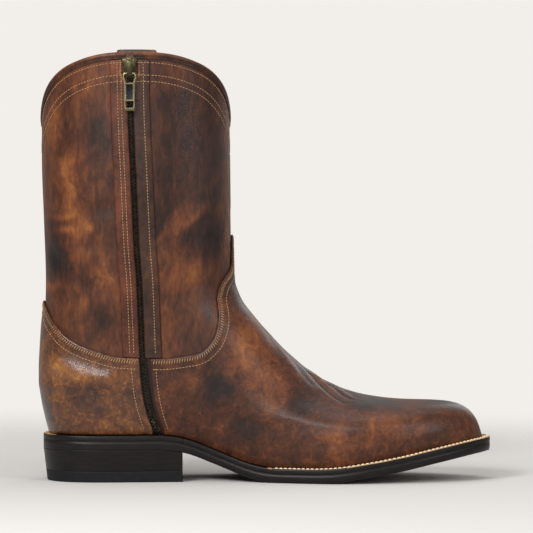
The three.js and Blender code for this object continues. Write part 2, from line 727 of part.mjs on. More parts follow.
// Frame at the slider: across the zip, up the zip, and out of the shaft
const sliderLevel = zipTop - SLIDER_DROP;
const sliderTurn = turnNearZip(sliderLevel, 0);
const outward = normalAt(sliderTurn, sliderLevel);
const across = new THREE.Vector3(-outward.y, outward.x, 0).normalize();
const upZip = outward.clone().cross(across).normalize();
const sliderPlace = surface(sliderTurn, sliderLevel);

function placed(geometry, right, up, out, origin) {
  const matrix = new THREE.Matrix4().makeBasis(right, up, out).setPosition(origin);
  return geometry.applyMatrix4(matrix);
}

// Slider: a plate over the facings, a stem down into the slit, and a bridge for the tab
const PLATE_BASE = FACING_GAP + FACING_THICKNESS + GAP;
const PLATE_NOSE = 0.72;
function sliderBody() {
  const half = SLIDER_WIDTH / 2;
  const length = SLIDER_LENGTH / 2;
  const plan = new THREE.Shape();
  plan.moveTo(-half * PLATE_NOSE, -length);
  plan.lineTo(half * PLATE_NOSE, -length);
  plan.quadraticCurveTo(half, 0, half, length * PLATE_NOSE);
  plan.quadraticCurveTo(half, length, 0, length);
  plan.quadraticCurveTo(-half, length, -half, length * PLATE_NOSE);
  plan.quadraticCurveTo(-half, 0, -half * PLATE_NOSE, -length);
  const top = new THREE.ExtrudeGeometry(plan, {
    depth: SLIDER_PLATE, bevelEnabled: false, curveSegments: 5 });
  top.translate(0, 0, PLATE_BASE);

  const stem = new THREE.BoxGeometry(CHAIN_WIDTH, SLIDER_LENGTH - GAP, PLATE_BASE + GAP);
  stem.translate(0, GAP / 2, PLATE_BASE / 2);

  const arch = new THREE.Shape();
  const reach = BRIDGE_LENGTH / 2;
  const height = BRIDGE_CLEAR + BRIDGE_WALL;
  arch.moveTo(-reach, -BRIDGE_WALL / 2);
  arch.lineTo(-reach + BRIDGE_WALL, -BRIDGE_WALL / 2);
  arch.lineTo(-reach + BRIDGE_WALL, BRIDGE_CLEAR - BRIDGE_WALL / 2);
  arch.lineTo(-reach + BRIDGE_WALL * 1.5, BRIDGE_CLEAR);
  arch.lineTo(reach - BRIDGE_WALL * 1.5, BRIDGE_CLEAR);
  arch.lineTo(reach - BRIDGE_WALL, BRIDGE_CLEAR - BRIDGE_WALL / 2);
  arch.lineTo(reach - BRIDGE_WALL, -BRIDGE_WALL / 2);
  arch.lineTo(reach, -BRIDGE_WALL / 2);
  arch.quadraticCurveTo(reach, height, reach - BRIDGE_WALL * 2, height);
  arch.lineTo(-reach + BRIDGE_WALL * 2, height);
  arch.quadraticCurveTo(-reach, height, -reach, -BRIDGE_WALL / 2);
  const bridge = new THREE.ExtrudeGeometry(arch, {
    depth: BRIDGE_WIDTH, bevelEnabled: false, curveSegments: 4 });
  bridge.translate(0, 0, -BRIDGE_WIDTH / 2);
  bridge.applyMatrix4(new THREE.Matrix4().makeBasis(
    new THREE.Vector3(0, 1, 0), new THREE.Vector3(0, 0, 1), new THREE.Vector3(1, 0, 0)));
  bridge.translate(0, 0, PLATE_BASE + SLIDER_PLATE);

  const joined = toManifold(top).add(toManifold(stem)).add(toManifold(bridge));
  return placed(toGeometry(joined), across, upZip, outward, sliderPlace);
}

// Pull tab: hangs plumb from its bar, which turns inside the bridge
const barPlace = -BRIDGE_LENGTH / 2 + BRIDGE_WALL + BRIDGE_CLEAR / 2;
const pivot = sliderPlace.clone()
  .addScaledVector(upZip, barPlace)
  .addScaledVector(outward, PLATE_BASE + SLIDER_PLATE + BRIDGE_CLEAR / 2);
const WINDOW_DROP = BRIDGE_CLEAR / 2 + BRIDGE_WALL * 2 + GAP;
const WINDOW_LENGTH = 5.5;
const SMALL_WINDOW = 3.2;
const TAB_CORNER = 1.2;

function pullTab() {
  const half = TAB_WIDTH / 2;
  const head = TAB_BAR / 2;
  const plan = new THREE.Shape();
  plan.moveTo(-half + TAB_CORNER, head);
  plan.lineTo(half - TAB_CORNER, head);
  plan.quadraticCurveTo(half, head, half, head - TAB_CORNER);
  plan.lineTo(half, -TAB_LENGTH + TAB_CORNER);
  plan.quadraticCurveTo(half, -TAB_LENGTH, half - TAB_CORNER, -TAB_LENGTH);
  plan.lineTo(-half + TAB_CORNER, -TAB_LENGTH);
  plan.quadraticCurveTo(-half, -TAB_LENGTH, -half, -TAB_LENGTH + TAB_CORNER);
  plan.lineTo(-half, head - TAB_CORNER);
  plan.quadraticCurveTo(-half, head, -half + TAB_CORNER, head);
  const rail = half - TAB_RAIL;
  plan.holes.push(windowPath(rail, -head, -WINDOW_LENGTH));
  plan.holes.push(windowPath(rail - TAB_RAIL / 2, -TAB_LENGTH + TAB_RAIL + SMALL_WINDOW + TAB_RAIL,
    -TAB_LENGTH + TAB_RAIL * 1.5));
  const tab = new THREE.ExtrudeGeometry(plan, {
    depth: TAB_THICKNESS, bevelEnabled: false, curveSegments: 3 });
  tab.translate(0, 0, -TAB_THICKNESS / 2);
  const plumb = new THREE.Vector3(0, 0, 1);
  return placed(toGeometry(toManifold(tab)), across, plumb, across.clone().cross(plumb), pivot);
}

function windowPath(half, top, bottom) {
  const path = new THREE.Path();
  path.moveTo(-half, top);
  path.lineTo(-half, bottom);
  path.lineTo(half, bottom);
  path.lineTo(half, top);
  path.closePath();
  return path;
}

// Finishes
const finish = (color, roughness, metalness = 0) => (
  new THREE.MeshStandardMaterial({ color, roughness, metalness }));
const brownLeather = finish(0x7a4526, 0.5);
const darkLeather = finish(0x4a2c1c, 0.55);
const edgeLeather = finish(0x1d1816, 0.45);
const weltLeather = finish(0xb08a5c, 0.6);
const liningLeather = finish(0xb9946a, 0.8);
const rubber = finish(0x16171b, 0.7);
const tapeCloth = finish(0x121010, 0.9);
const agedBrass = finish(0x6b6448, 0.4, 1);

const boot = new THREE.Group();
boot.position.x = -HEEL_REST;

function add(name, geometry, material) {
  const mesh = new THREE.Mesh(geometry, material);
  mesh.name = name;
  boot.add(mesh);
}

add('upper', upper(), brownLeather);
add('vamp', vamp(), brownLeather);
add('counter', counter(), brownLeather);
add('collar_binding', collarBinding(), darkLeather);
add('zip_facing_back', zipFacing(-1), brownLeather);
add('zip_facing_front', zipFacing(1), darkLeather);
add('zip_tape', zipTape(), tapeCloth);
add('zip_chain', zipChain(), tapeCloth);
add('zip_slider', sliderBody(), agedBrass);
add('pull_tab', pullTab(), agedBrass);
add('pull_strap', pullStrap(), darkLeather);
add('insole', insole(), liningLeather);
add('welt', welt(), weltLeather);
add('heel_rand', heelRand(), weltLeather);
add('outsole', outsole(), edgeLeather);
add('heel_stack', heelStack(), edgeLeather);
add('top_lift', topLift(), rubber);

export default boot;
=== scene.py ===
# Roper boot for the left foot: brown pull-up leather with a scalloped collar, a zip on the inner
# side, a pull strap on the outer side, a stitched welt and a low stacked heel.
# The boot's own sizes are in millimetres, counted from the back edge of the heel: +X points to
# the toe, +Y to the outer side of the foot and +Z up from the floor.
import math

import bmesh
import bpy
import numpy as np
from mathutils import Matrix, Vector


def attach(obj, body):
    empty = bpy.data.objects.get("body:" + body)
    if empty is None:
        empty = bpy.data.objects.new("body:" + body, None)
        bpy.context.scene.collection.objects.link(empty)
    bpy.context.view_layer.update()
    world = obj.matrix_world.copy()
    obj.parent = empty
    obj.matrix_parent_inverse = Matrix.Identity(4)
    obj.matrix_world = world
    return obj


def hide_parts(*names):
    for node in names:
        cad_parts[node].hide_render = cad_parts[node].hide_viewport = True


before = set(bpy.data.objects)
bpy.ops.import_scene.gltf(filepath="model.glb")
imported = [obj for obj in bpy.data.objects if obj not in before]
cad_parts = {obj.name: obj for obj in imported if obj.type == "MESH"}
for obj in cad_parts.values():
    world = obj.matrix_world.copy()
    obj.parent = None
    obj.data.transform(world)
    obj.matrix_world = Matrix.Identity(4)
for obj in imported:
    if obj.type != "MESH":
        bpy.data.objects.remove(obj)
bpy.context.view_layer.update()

MM = 0.001


# Camera and studio
# The camera looks at the zip side, square on and from a little above the floor, as in the photo.
# A pale floor fades into a backdrop of the same tone, and large soft lamps give long highlights.
CAMERA_PLACE = (0.011, -2.4, 0.202)
CAMERA_TARGET = (0.1065, 0.0, 0.1450)
CAMERA_LENS = 237
BACKDROP = "#f2efea"
BOARD = "#cdcbc8"
ROOM_LIGHT = 0.40
FLOOR_SIZE = 3.0
FLOOR_CLEAR = 0.24
FLOOR_GONE = 0.8
LAMPS = [
    # name, place, aimed at, width, height, watts
    ("key_lamp", (-0.85, -1.35, 1.15), (0.05, 0.0, 0.12), 0.5, 0.5, 23),
    ("heel_lamp", (-0.14, -1.06, 0.50), (-0.01, -0.03, 0.08), 0.64, 0.09, 4.2),
    ("side_lamp", (1.25, -1.15, 0.75), (0.12, 0.0, 0.10), 0.5, 0.9, 7.6),
    ("top_lamp", (0.10, 0.05, 1.6), (0.08, 0.0, 0.0), 1.3, 1.1, 8.5),
    ("rim_lamp", (0.75, 1.15, 0.75), (0.10, 0.0, 0.15), 0.6, 0.9, 3),
]


def linear(colour):
    channels = [int(colour[i:i + 2], 16) / 255 for i in (1, 3, 5)]
    return tuple(c / 12.92 if c <= 0.04045 else ((c + 0.055) / 1.055) ** 2.4
                 for c in channels) + (1.0,)


def add_node(tree, kind, settings=None, links=None):
    """A node with its settings; a link comes from a socket, or from a node's first output."""
    made = tree.nodes.new("ShaderNode" + kind)
    for name, value in (settings or {}).items():
        if isinstance(name, int) or name in made.inputs:
            made.inputs[name].default_value = value
        else:
            setattr(made, name, value)
    for name, source in (links or {}).items():
        socket = source if isinstance(source, bpy.types.NodeSocket) else source.outputs[0]
        tree.links.new(socket, made.inputs[name])
    return made


def new_material(name):
    material = bpy.data.materials.new(name)
    material.use_nodes = True
    tree = material.node_tree
    tree.nodes.clear()
    return material, tree, add_node(tree, "TexCoord").outputs["Object"]


def finished(material, shader):
    add_node(material.node_tree, "OutputMaterial", None, {"Surface": shader})
    return material


def mesh_of(name, bm):
    mesh = bpy.data.meshes.new(name)
    bm.to_mesh(mesh)
    bm.free()
    return mesh


def aim(thing, place, target):
    thing.location = place
    direction = Vector(target) - Vector(place)
    thing.rotation_euler = direction.to_track_quat("-Z", "Y").to_euler()
    bpy.context.collection.objects.link(thing)


camera = bpy.data.objects.new("camera", bpy.data.cameras.new("camera"))
camera.data.lens = CAMERA_LENS
aim(camera, CAMERA_PLACE, CAMERA_TARGET)
bpy.context.scene.camera = camera
bpy.context.scene.view_settings.view_transform = "Standard"

for name, place, target, width, height, watts in LAMPS:
    lamp = bpy.data.lights.new(name, "AREA")
    lamp.shape = "RECTANGLE"
    lamp.size = width
    lamp.size_y = height
    lamp.energy = watts
    aim(bpy.data.objects.new(name, lamp), place, target)

world = bpy.data.worlds.new("studio")
world.use_nodes = True
backdrop = world.node_tree.nodes["Background"]
backdrop.inputs["Color"].default_value = linear(BACKDROP)
seen = add_node(world.node_tree, "LightPath").outputs["Is Camera Ray"]
strength = add_node(world.node_tree, "MapRange", {"To Min": ROOM_LIGHT}, {"Value": seen})
world.node_tree.links.new(strength.outputs["Result"], backdrop.inputs["Strength"])
bpy.context.scene.world = world

# Matt painted board: it takes the soft shadows and fades out far from the boot
material, tree, coords = new_material("painted studio board")
board = add_node(tree, "BsdfDiffuse", {"Color": linear(BOARD)})
far_off = add_node(tree, "BsdfTransparent")
distance = add_node(tree, "VectorMath", {"operation": "LENGTH"}, {0: coords}).outputs["Value"]
fade = add_node(tree, "MapRange", {"interpolation_type": "SMOOTHSTEP", "From Min": FLOOR_CLEAR,
                                   "From Max": FLOOR_GONE}, {"Value": distance})
finished(material, add_node(tree, "MixShader", None, {0: fade, 1: board, 2: far_off}))
bm = bmesh.new()
bmesh.ops.create_circle(bm, cap_ends=True, segments=64, radius=FLOOR_SIZE)
floor = bpy.data.objects.new("floor", mesh_of("floor", bm))
floor.data.materials.append(material)
bpy.context.collection.objects.link(floor)


# Last
# The wooden form that the boot is pulled over. Every leather piece is cut and stitched on its
# face, so it is worked out here once from length, widths and heights.
SOLE_LENGTH = 305
BALL_WIDTH = 111
WAIST_WIDTH = 68
HEEL_WIDTH = 72
TOE_WIDTH = 92
TOE_SWING = 9
SOLE_THICKNESS = 6.2
WELT_THICKNESS = 3.2
WELT_REACH = 7
HEEL_REACH = 5.5
TOE_SPRING = 20
TREAD_START = 160
TREAD_END = 184
HEEL_HEIGHT = 22
HEEL_LENGTH = 94.5
SHANK_START = 78
HEEL_REST = 46
ANKLE_LEVEL = 103
ANKLE_WIDTH = 92
SHAFT_LEVEL = 256
SHAFT_WIDTH = 111
SHAFT_ROUND = 64
COLLAR_DIP = 44
GAP = 0.3
FEATHER_GAP = 0.5
LAST_LENGTH = SOLE_LENGTH - HEEL_REACH - WELT_REACH
SEAT = HEEL_HEIGHT + SOLE_THICKNESS + GAP + WELT_THICKNESS + FEATHER_GAP

# Rings from the featherline to the ankle. level is a share of the ankle level, back and the
# rounded ends are shares of the last's length, half widths are shares of the named widths.
FOOT_COLUMNS = ["level", "back", "back_round", "front_round", "heel_in", "heel_out",
                "waist_in", "waist_out", "ball_in", "ball_out", "toe_in", "toe_out"]
FOOT_RINGS = [
    [0.000, 0.0000, 0.120, 0.212, 0.430, 0.438, 0.400, 0.455, 0.433, 0.442, 0.408, 0.408],
    [0.058, -0.0055, 0.123, 0.214, 0.455, 0.463, 0.434, 0.493, 0.452, 0.462, 0.434, 0.434],
    [0.117, -0.0106, 0.127, 0.222, 0.472, 0.481, 0.471, 0.522, 0.461, 0.474, 0.450, 0.450],
    [0.194, -0.0164, 0.130, 0.244, 0.486, 0.497, 0.507, 0.544, 0.460, 0.470, 0.450, 0.446],
    [0.272, -0.0209, 0.137, 0.282, 0.493, 0.506, 0.530, 0.559, 0.450, 0.456, 0.444, 0.438],
    [0.335, -0.0239, 0.140, 0.304, 0.500, 0.512, 0.552, 0.566, 0.436, 0.438, 0.434, 0.430],
    [0.427, -0.0239, 0.147, 0.300, 0.506, 0.518, 0.566, 0.578, 0.410, 0.408, 0.413, 0.413],
    [0.553, -0.0219, 0.157, 0.276, 0.519, 0.530, 0.581, 0.588, 0.383, 0.383, 0.413, 0.413],
    [0.699, -0.0188, 0.174, 0.250, 0.547, 0.553, 0.596, 0.596, 0.374, 0.374, 0.435, 0.435],
    [0.835, -0.0144, 0.198, 0.232, 0.594, 0.594, 0.629, 0.629, 0.385, 0.385, 0.465, 0.465],
]
SHAFT_RINGS = [
    # rise, back, widening
    [0.000, -0.0130, 0.00], [0.264, -0.0171, 0.38], [0.547, -0.0219, 0.66],
    [0.780, -0.0219, 0.80], [1.000, -0.0219, 1.00],
]
FRONT_LINE = [
    [0.000, 1.0000], [0.065, 0.9930], [0.101, 0.9882], [0.136, 0.9814], [0.170, 0.9720],
    [0.201, 0.9595], [0.228, 0.9436], [0.250, 0.9240], [0.271, 0.8971], [0.294, 0.8631],
    [0.318, 0.8288], [0.361, 0.7736], [0.415, 0.7182], [0.479, 0.6694], [0.543, 0.6206],
    [0.624, 0.5652], [0.726, 0.5066], [0.818, 0.4619], [0.863, 0.4444], [0.909, 0.4337],
    [1.000, 0.4228],
]
SHAFT_FRONT = [[0.193, 0.4190], [0.400, 0.4175], [1.000, 0.4150]]
NAMED_WIDTHS = [
    # name, place as a share of the last's length, width
    ("heel", 0.135, HEEL_WIDTH), ("waist", 0.374, WAIST_WIDTH), ("ball", 0.682, BALL_WIDTH),
    ("toe", 0.877, TOE_WIDTH),
]
TIP_SHARE = 0.72
ROUND_POWER = 2.3
SWING_START = 0.56
SWING_POWER = 1.5
EASE = 0.25
SHANK_EASE = 0.35
SPRING_RISE = [[0, 0], [0.10, 0.035], [0.23, 0.145], [0.46, 0.385], [0.68, 0.67], [0.90, 0.92],
               [1, 1]]
LEVEL_FROM = 0.44
LEVEL_TO = 0.97
SCALLOP_POWER = 2.65
TURN_STEP = 0.004
LEVEL_STEP = 0.8


def smooth(value):
    t = np.clip(value, 0, 1)
    return t * t * (3 - 2 * t)


def unit(vectors):
    return vectors / np.linalg.norm(vectors, axis=-1, keepdims=True)


def through(places, values, at):
    """Smooth curve through values at rising places, with no overshoot; one curve per column."""
    x = np.asarray(places, float)
    at = np.clip(np.atleast_1d(at), x[0], x[-1])
    y = np.broadcast_to(np.asarray(values, float).reshape(len(x), -1), (len(x), at.size))
    slopes = np.diff(y, axis=0) / np.diff(x)[:, None]
    product = slopes[:-1] * slopes[1:]
    total = np.where(product > 0, slopes[:-1] + slopes[1:], 1)
    inner = np.where(product > 0, 2 * product / total, 0)
    tangents = np.vstack([slopes[:1], inner, slopes[-1:]])
    row = np.clip(np.searchsorted(x, at, side="right") - 1, 0, len(x) - 2)
    item = np.arange(at.size)
    width = x[row + 1] - x[row]
    t = (at - x[row]) / width
    blend = smooth(t)
    leave = t * (1 - t) ** 2 * width * tangents[row, item]
    arrive = t * t * (1 - t) * width * tangents[row + 1, item]
    return y[row, item] * (1 - blend) + y[row + 1, item] * blend + leave - arrive


def travel(phase, ease=EASE):
    """Share of a way that is gone at that phase, with a soft start and a soft end."""
    pace = 1 / (1 - ease)
    start = pace * phase ** 2 / (2 * ease)
    end = 1 - pace * (1 - phase) ** 2 / (2 * ease)
    return np.where(phase < ease, start,
                    np.where(phase > 1 - ease, end, pace * (phase - ease / 2)))


def phase_of(share):
    """The other way round: the phase at which travel gives that share."""
    place = np.clip(share, 0, 1)
    pace = 1 / (1 - EASE)
    end = pace * EASE / 2
    start = np.sqrt(2 * EASE * place / pace)
    finish = 1 - np.sqrt(2 * EASE * (1 - place) / pace)
    return np.where(place < end, start, np.where(place > 1 - end, finish, place / pace + EASE / 2))


def up_the_boot(foot, shaft, level):
    """A size at that level, from rows of place and size below the ankle and above it."""
    places = [row[0] * ANKLE_LEVEL for row in foot] \
        + [ANKLE_LEVEL + row[0] * (SHAFT_LEVEL - ANKLE_LEVEL) for row in shaft]
    return through(places, [row[1] for row in foot + shaft], level)


def ring_size(name, scale, shaft_size, level):
    column = FOOT_COLUMNS.index(name)
    return up_the_boot([(row[0], row[column] * scale) for row in FOOT_RINGS],
                       [(row[0], shaft_size(row)) for row in SHAFT_RINGS], level)


def back_of(level):
    return HEEL_REACH + ring_size("back", LAST_LENGTH, lambda row: row[1] * LAST_LENGTH, level)


def front_of(level):
    return HEEL_REACH + LAST_LENGTH * up_the_boot(FRONT_LINE, SHAFT_FRONT, level)


def half_width(along, level, side):
    def shaft_half(row):
        return (ANKLE_WIDTH + row[2] * (SHAFT_WIDTH - ANKLE_WIDTH)) / 2

    halves = []
    for name, _, width in NAMED_WIDTHS:
        inner, outer = (ring_size(name + end, width, shaft_half, level) for end in ("_in", "_out"))
        halves.append(np.where(side < 0, inner, outer))
    places = [HEEL_REACH + place * LAST_LENGTH for _, place, _ in NAMED_WIDTHS]
    rows = np.array([halves[0], *halves, halves[-1] * TIP_SHARE])
    return through([0, *places, SOLE_LENGTH], rows, along)


def closing(distance_in, length):
    rest = 1 - np.clip(distance_in / length, 0, 1)
    return (1 - rest ** ROUND_POWER) ** (1 / ROUND_POWER)


def outline(share, level, side, heel_grow=0.0, toe_grow=0.0):
    """Place along and across on the last's edge, or so far outside it at heel and toe."""
    back = back_of(level) - heel_grow
    front = front_of(level) + toe_grow
    along = back + (front - back) * share
    grow = heel_grow + (toe_grow - heel_grow) * smooth((along - SHANK_START) / SHANK_START)
    back_round, front_round = (ring_size(end, LAST_LENGTH, lambda row: SHAFT_ROUND, level)
                               for end in ("back_round", "front_round"))
    half = (half_width(along, level, side) + grow) \
        * closing(along - back, back_round + heel_grow) \
        * closing(front - along, front_round + toe_grow)
    start = SWING_START * SOLE_LENGTH
    swing = -TOE_SWING * np.maximum(0, (along - start) / (SOLE_LENGTH - start)) ** SWING_POWER
    return along, swing + side * half


def tread_height(along):
    fall = travel(np.clip((along - SHANK_START) / (TREAD_START - SHANK_START), 0, 1), SHANK_EASE)
    places, values = zip(*SPRING_RISE)
    toe = through(places, values, (along - TREAD_END) / (SOLE_LENGTH - TREAD_END))
    return HEEL_HEIGHT * (1 - fall) + TOE_SPRING * toe


def welt_top(along):
    return tread_height(along) + SOLE_THICKNESS + GAP + WELT_THICKNESS


def height_at(along, level):
    follow = 1 - smooth((level / ANKLE_LEVEL - LEVEL_FROM) / (LEVEL_TO - LEVEL_FROM))
    return SEAT + level + (welt_top(along) + FEATHER_GAP - SEAT) * follow


def fold(turn):
    """How far from back (0) to front (1) a turn has come, and on which side of the boot."""
    wrapped = turn - np.floor(turn)
    inner = wrapped <= 0.5
    return np.where(inner, wrapped * 2, 2 - wrapped * 2), np.where(inner, -1.0, 1.0)


def surface(turn, level):
    """Outer face of the boot; turn runs from the back by the inner side, front and outer side."""
    phase, side = fold(turn)
    x, y = outline(travel(phase), level, side)
    return np.stack([x, y, height_at(x, level)], axis=-1)


def normal_at(turn, level):
    across = surface(turn + TURN_STEP, level) - surface(turn - TURN_STEP, level)
    middle = np.maximum(level, 0)
    up = surface(turn, middle + LEVEL_STEP) - surface(turn, np.maximum(middle - LEVEL_STEP, 0))
    normal = np.cross(across, up)
    normal[..., 2] *= smooth(level / 10)
    return unit(normal)


def collar_level(turn):
    quarter = (turn - np.floor(turn)) * 4
    from_side = np.abs(1 - quarter % 2)
    return SHAFT_LEVEL - COLLAR_DIP * from_side ** SCALLOP_POWER


def to_row_frame(points):
    return (points - np.array([HEEL_REST, 0, 0])) * MM


# Leather sheets
# Each panel is one hide sheet drawn over the last: a flat grid whose two directions run round
# the boot and up it, moved on to the last's face. Creases press it in or lift it.
LAP_SEAM = [
    [0.000, 0.874], [0.060, 0.835], [0.147, 0.721], [0.203, 0.631], [0.260, 0.566],
    [0.340, 0.510], [0.425, 0.503], [0.538, 0.559], [0.622, 0.637], [0.721, 0.762],
    [0.766, 0.840], [0.797, 0.917], [0.858, 1.020], [0.930, 1.100], [0.948, 1.160],
    [0.957, 1.240], [1.000, 1.310],
]
ZIP_LINE = [
    [0.030, 0.243], [0.150, 0.229], [0.285, 0.219], [0.540, 0.211], [0.750, 0.208],
    [1.010, 0.204], [1.240, 0.198], [1.680, 0.191], [2.150, 0.184], [2.540, 0.182],
]
SIDE_SEAM = 72
SLOT_HALF = 2.5
WALL = 2.2
PANEL = 1.3
LAP_GAP = 0.5
LAP_TOP = LAP_GAP + PANEL

# Soft troughs (minus) and ridges (plus) that wear has left; the hide's tone is also painted darker
# in the troughs as shade and lighter on the ridges as highlight. Those over the vamp are arcs seen
# from above: depth, width, place of the crown, how far the ends lie ahead of it at VAMP_HALF from
# the middle, and the two ends' places across.
VAMP_HALF = 34
CROWN_HALF = 17
CROWN_SHARE = 0.22
VAMP_ARCS = [
    (-1.5, 2.8, 177, 33, -31, 26), (0.8, 3.0, 184, 30, -29, 30), (-1.1, 2.4, 190, 28, -27, 33),
    (0.5, 2.6, 197, 24, -22, 30), (-0.7, 2.6, 204, 20, -20, 26), (-0.8, 4.0, 163, 38, -24, 31),
    (0.4, 4.0, 155, 38, -20, 27), (-0.4, 4.0, 147, 34, -16, 24),
]
# Others run along one side: side, depth, width, then along and height of each point
SIDE_CREASES = [
    (-1, 2.3, 7.5, [(13, 79), (24, 73), (35, 70), (43, 69)]),
    (1, 2.0, 7.5, [(13, 79), (24, 73), (36, 70), (52, 68)]),
    (-1, -0.8, 6.0, [(8, 152), (16, 141), (30, 136)]),
    (-1, 0.6, 5.0, [(7, 166), (18, 157), (30, 152)]),
    (-1, -0.5, 4.0, [(6, 134), (14, 128), (24, 126)]),
    (1, -0.7, 6.0, [(8, 149), (19, 139), (34, 135)]),
    (1, -0.6, 7.0, [(96, 150), (108, 141), (122, 138)]),
    (-1, -0.5, 7.0, [(92, 128), (106, 134), (122, 131)]),
    (-1, -0.5, 5.0, [(24, 176), (36, 184), (46, 186)]),
    (-1, 0.4, 6.0, [(74, 140), (92, 168), (112, 186)]),
    (1, 0.5, 6.0, [(40, 150), (66, 172), (90, 180)]),
]


def zip_along(level):
    places, values = zip(*ZIP_LINE)
    return through(np.multiply(places, ANKLE_LEVEL),
                   HEEL_REACH + np.multiply(values, LAST_LENGTH), level)


def turn_of(along, level, side):
    back = back_of(level)
    half = phase_of((along - back) / (front_of(level) - back)) / 2
    return np.where(side < 0, half, 1 - half)


def turn_near_zip(level, beside_zip):
    return turn_of(zip_along(level) + beside_zip, level, -1)


def turn_near_seam(level, beside_seam):
    return turn_of(SIDE_SEAM + beside_seam, level, 1)


def lap_level(turn):
    places, values = zip(*LAP_SEAM)
    return through(places, values, fold(turn)[0]) * ANKLE_LEVEL


def settle(low, high, is_low):
    for _ in range(30):
        middle = (low + high) / 2
        below = is_low(middle)
        low, high = np.where(below, middle, low), np.where(below, high, middle)
    return middle


def spot(along, height, side):
    """Turn and level of the place on one side of the boot with that length and height."""
    level = settle(0, SHAFT_LEVEL + 20, lambda middle: height_at(along, middle) < height)
    return turn_of(along, level, side), level


def spot_above(along, across):
    """Turn and level of the place on top of the foot with that length and place across."""
    side = np.where(across < 0, -1.0, 1.0)

    def is_low(level):
        back, front = back_of(level), front_of(level)
        share = (np.minimum(along, front) - back) / (front - back)
        return (front >= along) & (outline(share, level, side)[1] * side >= across * side)

    level = settle(0.25 * ANKLE_LEVEL, 1.2 * ANKLE_LEVEL, is_low)
    return turn_of(along, level, side), level


CREASE_LINES = []
for side, depth, width, places in SIDE_CREASES:
    along, height = np.array(places, float).T
    CREASE_LINES.append((depth, width, 1.0, surface(*spot(along, height, side))))
for depth, width, crown, ahead, inner_end, outer_end in VAMP_ARCS:
    across = np.linspace(inner_end, outer_end, 15)
    along = crown + ahead * (across / VAMP_HALF) ** 2
    CREASE_LINES.append((depth, width, CROWN_SHARE, surface(*spot_above(along, across))))


def distance_to_line(points, line):
    nearest = np.full(len(points), np.inf)
    for a, b in zip(line[:-1], line[1:]):
        edge = b - a
        share = np.clip((points - a) @ edge / (edge @ edge), 0, 1)
        nearest = np.minimum(nearest, np.linalg.norm(points - a - share[:, None] * edge, axis=1))
    return nearest


def relief(points):
    lift = 0
    from_middle = smooth(np.abs(points[:, 1]) / CROWN_HALF)
    for depth, width, crown_share, line in CREASE_LINES:
        depths = depth * (crown_share + (1 - crown_share) * from_middle)
        lift = lift + depths * np.exp(-(distance_to_line(points, line) / width) ** 2)
    return lift


def skin(turn, level, offset):
    points = surface(turn, level)
    return points + normal_at(turn, level) * (offset + relief(points))[:, None]


def grid_mesh(name, columns, rows, place, weld=False):
    """A grid whose points go where place(u, v) says, with u and v from 0 to 1."""
    bm = bmesh.new()
    bmesh.ops.create_grid(bm, x_segments=columns, y_segments=rows, size=0.5, calc_uvs=True)
    mesh = mesh_of(name, bm)
    flat = np.empty(len(mesh.vertices) * 3)
    mesh.vertices.foreach_get("co", flat)
    u, v = np.clip(flat.reshape(-1, 3)[:, :2].T + 0.5, 0, 1)
    points, worn_and_lit = place(u, v)
    mesh.vertices.foreach_set("co", to_row_frame(points).ravel())
    for label, values in worn_and_lit.items():
        layer = mesh.attributes.new(label, "FLOAT", "POINT")
        layer.data.foreach_set("value", np.asarray(values, np.float32))
    if weld:
        bm = bmesh.new()
        bm.from_mesh(mesh)
        bmesh.ops.remove_doubles(bm, verts=bm.verts, dist=1e-6)
        bmesh.ops.holes_fill(bm, edges=[e for e in bm.edges if e.is_boundary], sides=0)
        bmesh.ops.recalc_face_normals(bm, faces=bm.faces)
        bm.to_mesh(mesh)
        bm.free()
    mesh.update()
    mesh.shade_smooth()
    return mesh


def put(name, mesh, materials, body="boot", replaces=(), wall=0, rim=1, inside=0):
    """Piece in the frame; a wall grows inwards, with those materials on its rim and inside."""
    piece = bpy.data.objects.new(name, mesh)
    bpy.context.collection.objects.link(piece)
    for material in materials:
        mesh.materials.append(material)
    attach(piece, body)
    if replaces:
        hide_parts(*replaces)
    if wall:
        solid = piece.modifiers.new("wall", "SOLIDIFY")
        solid.thickness = wall * MM
        solid.offset = -1
        solid.material_offset = inside
        solid.material_offset_rim = rim
    return piece
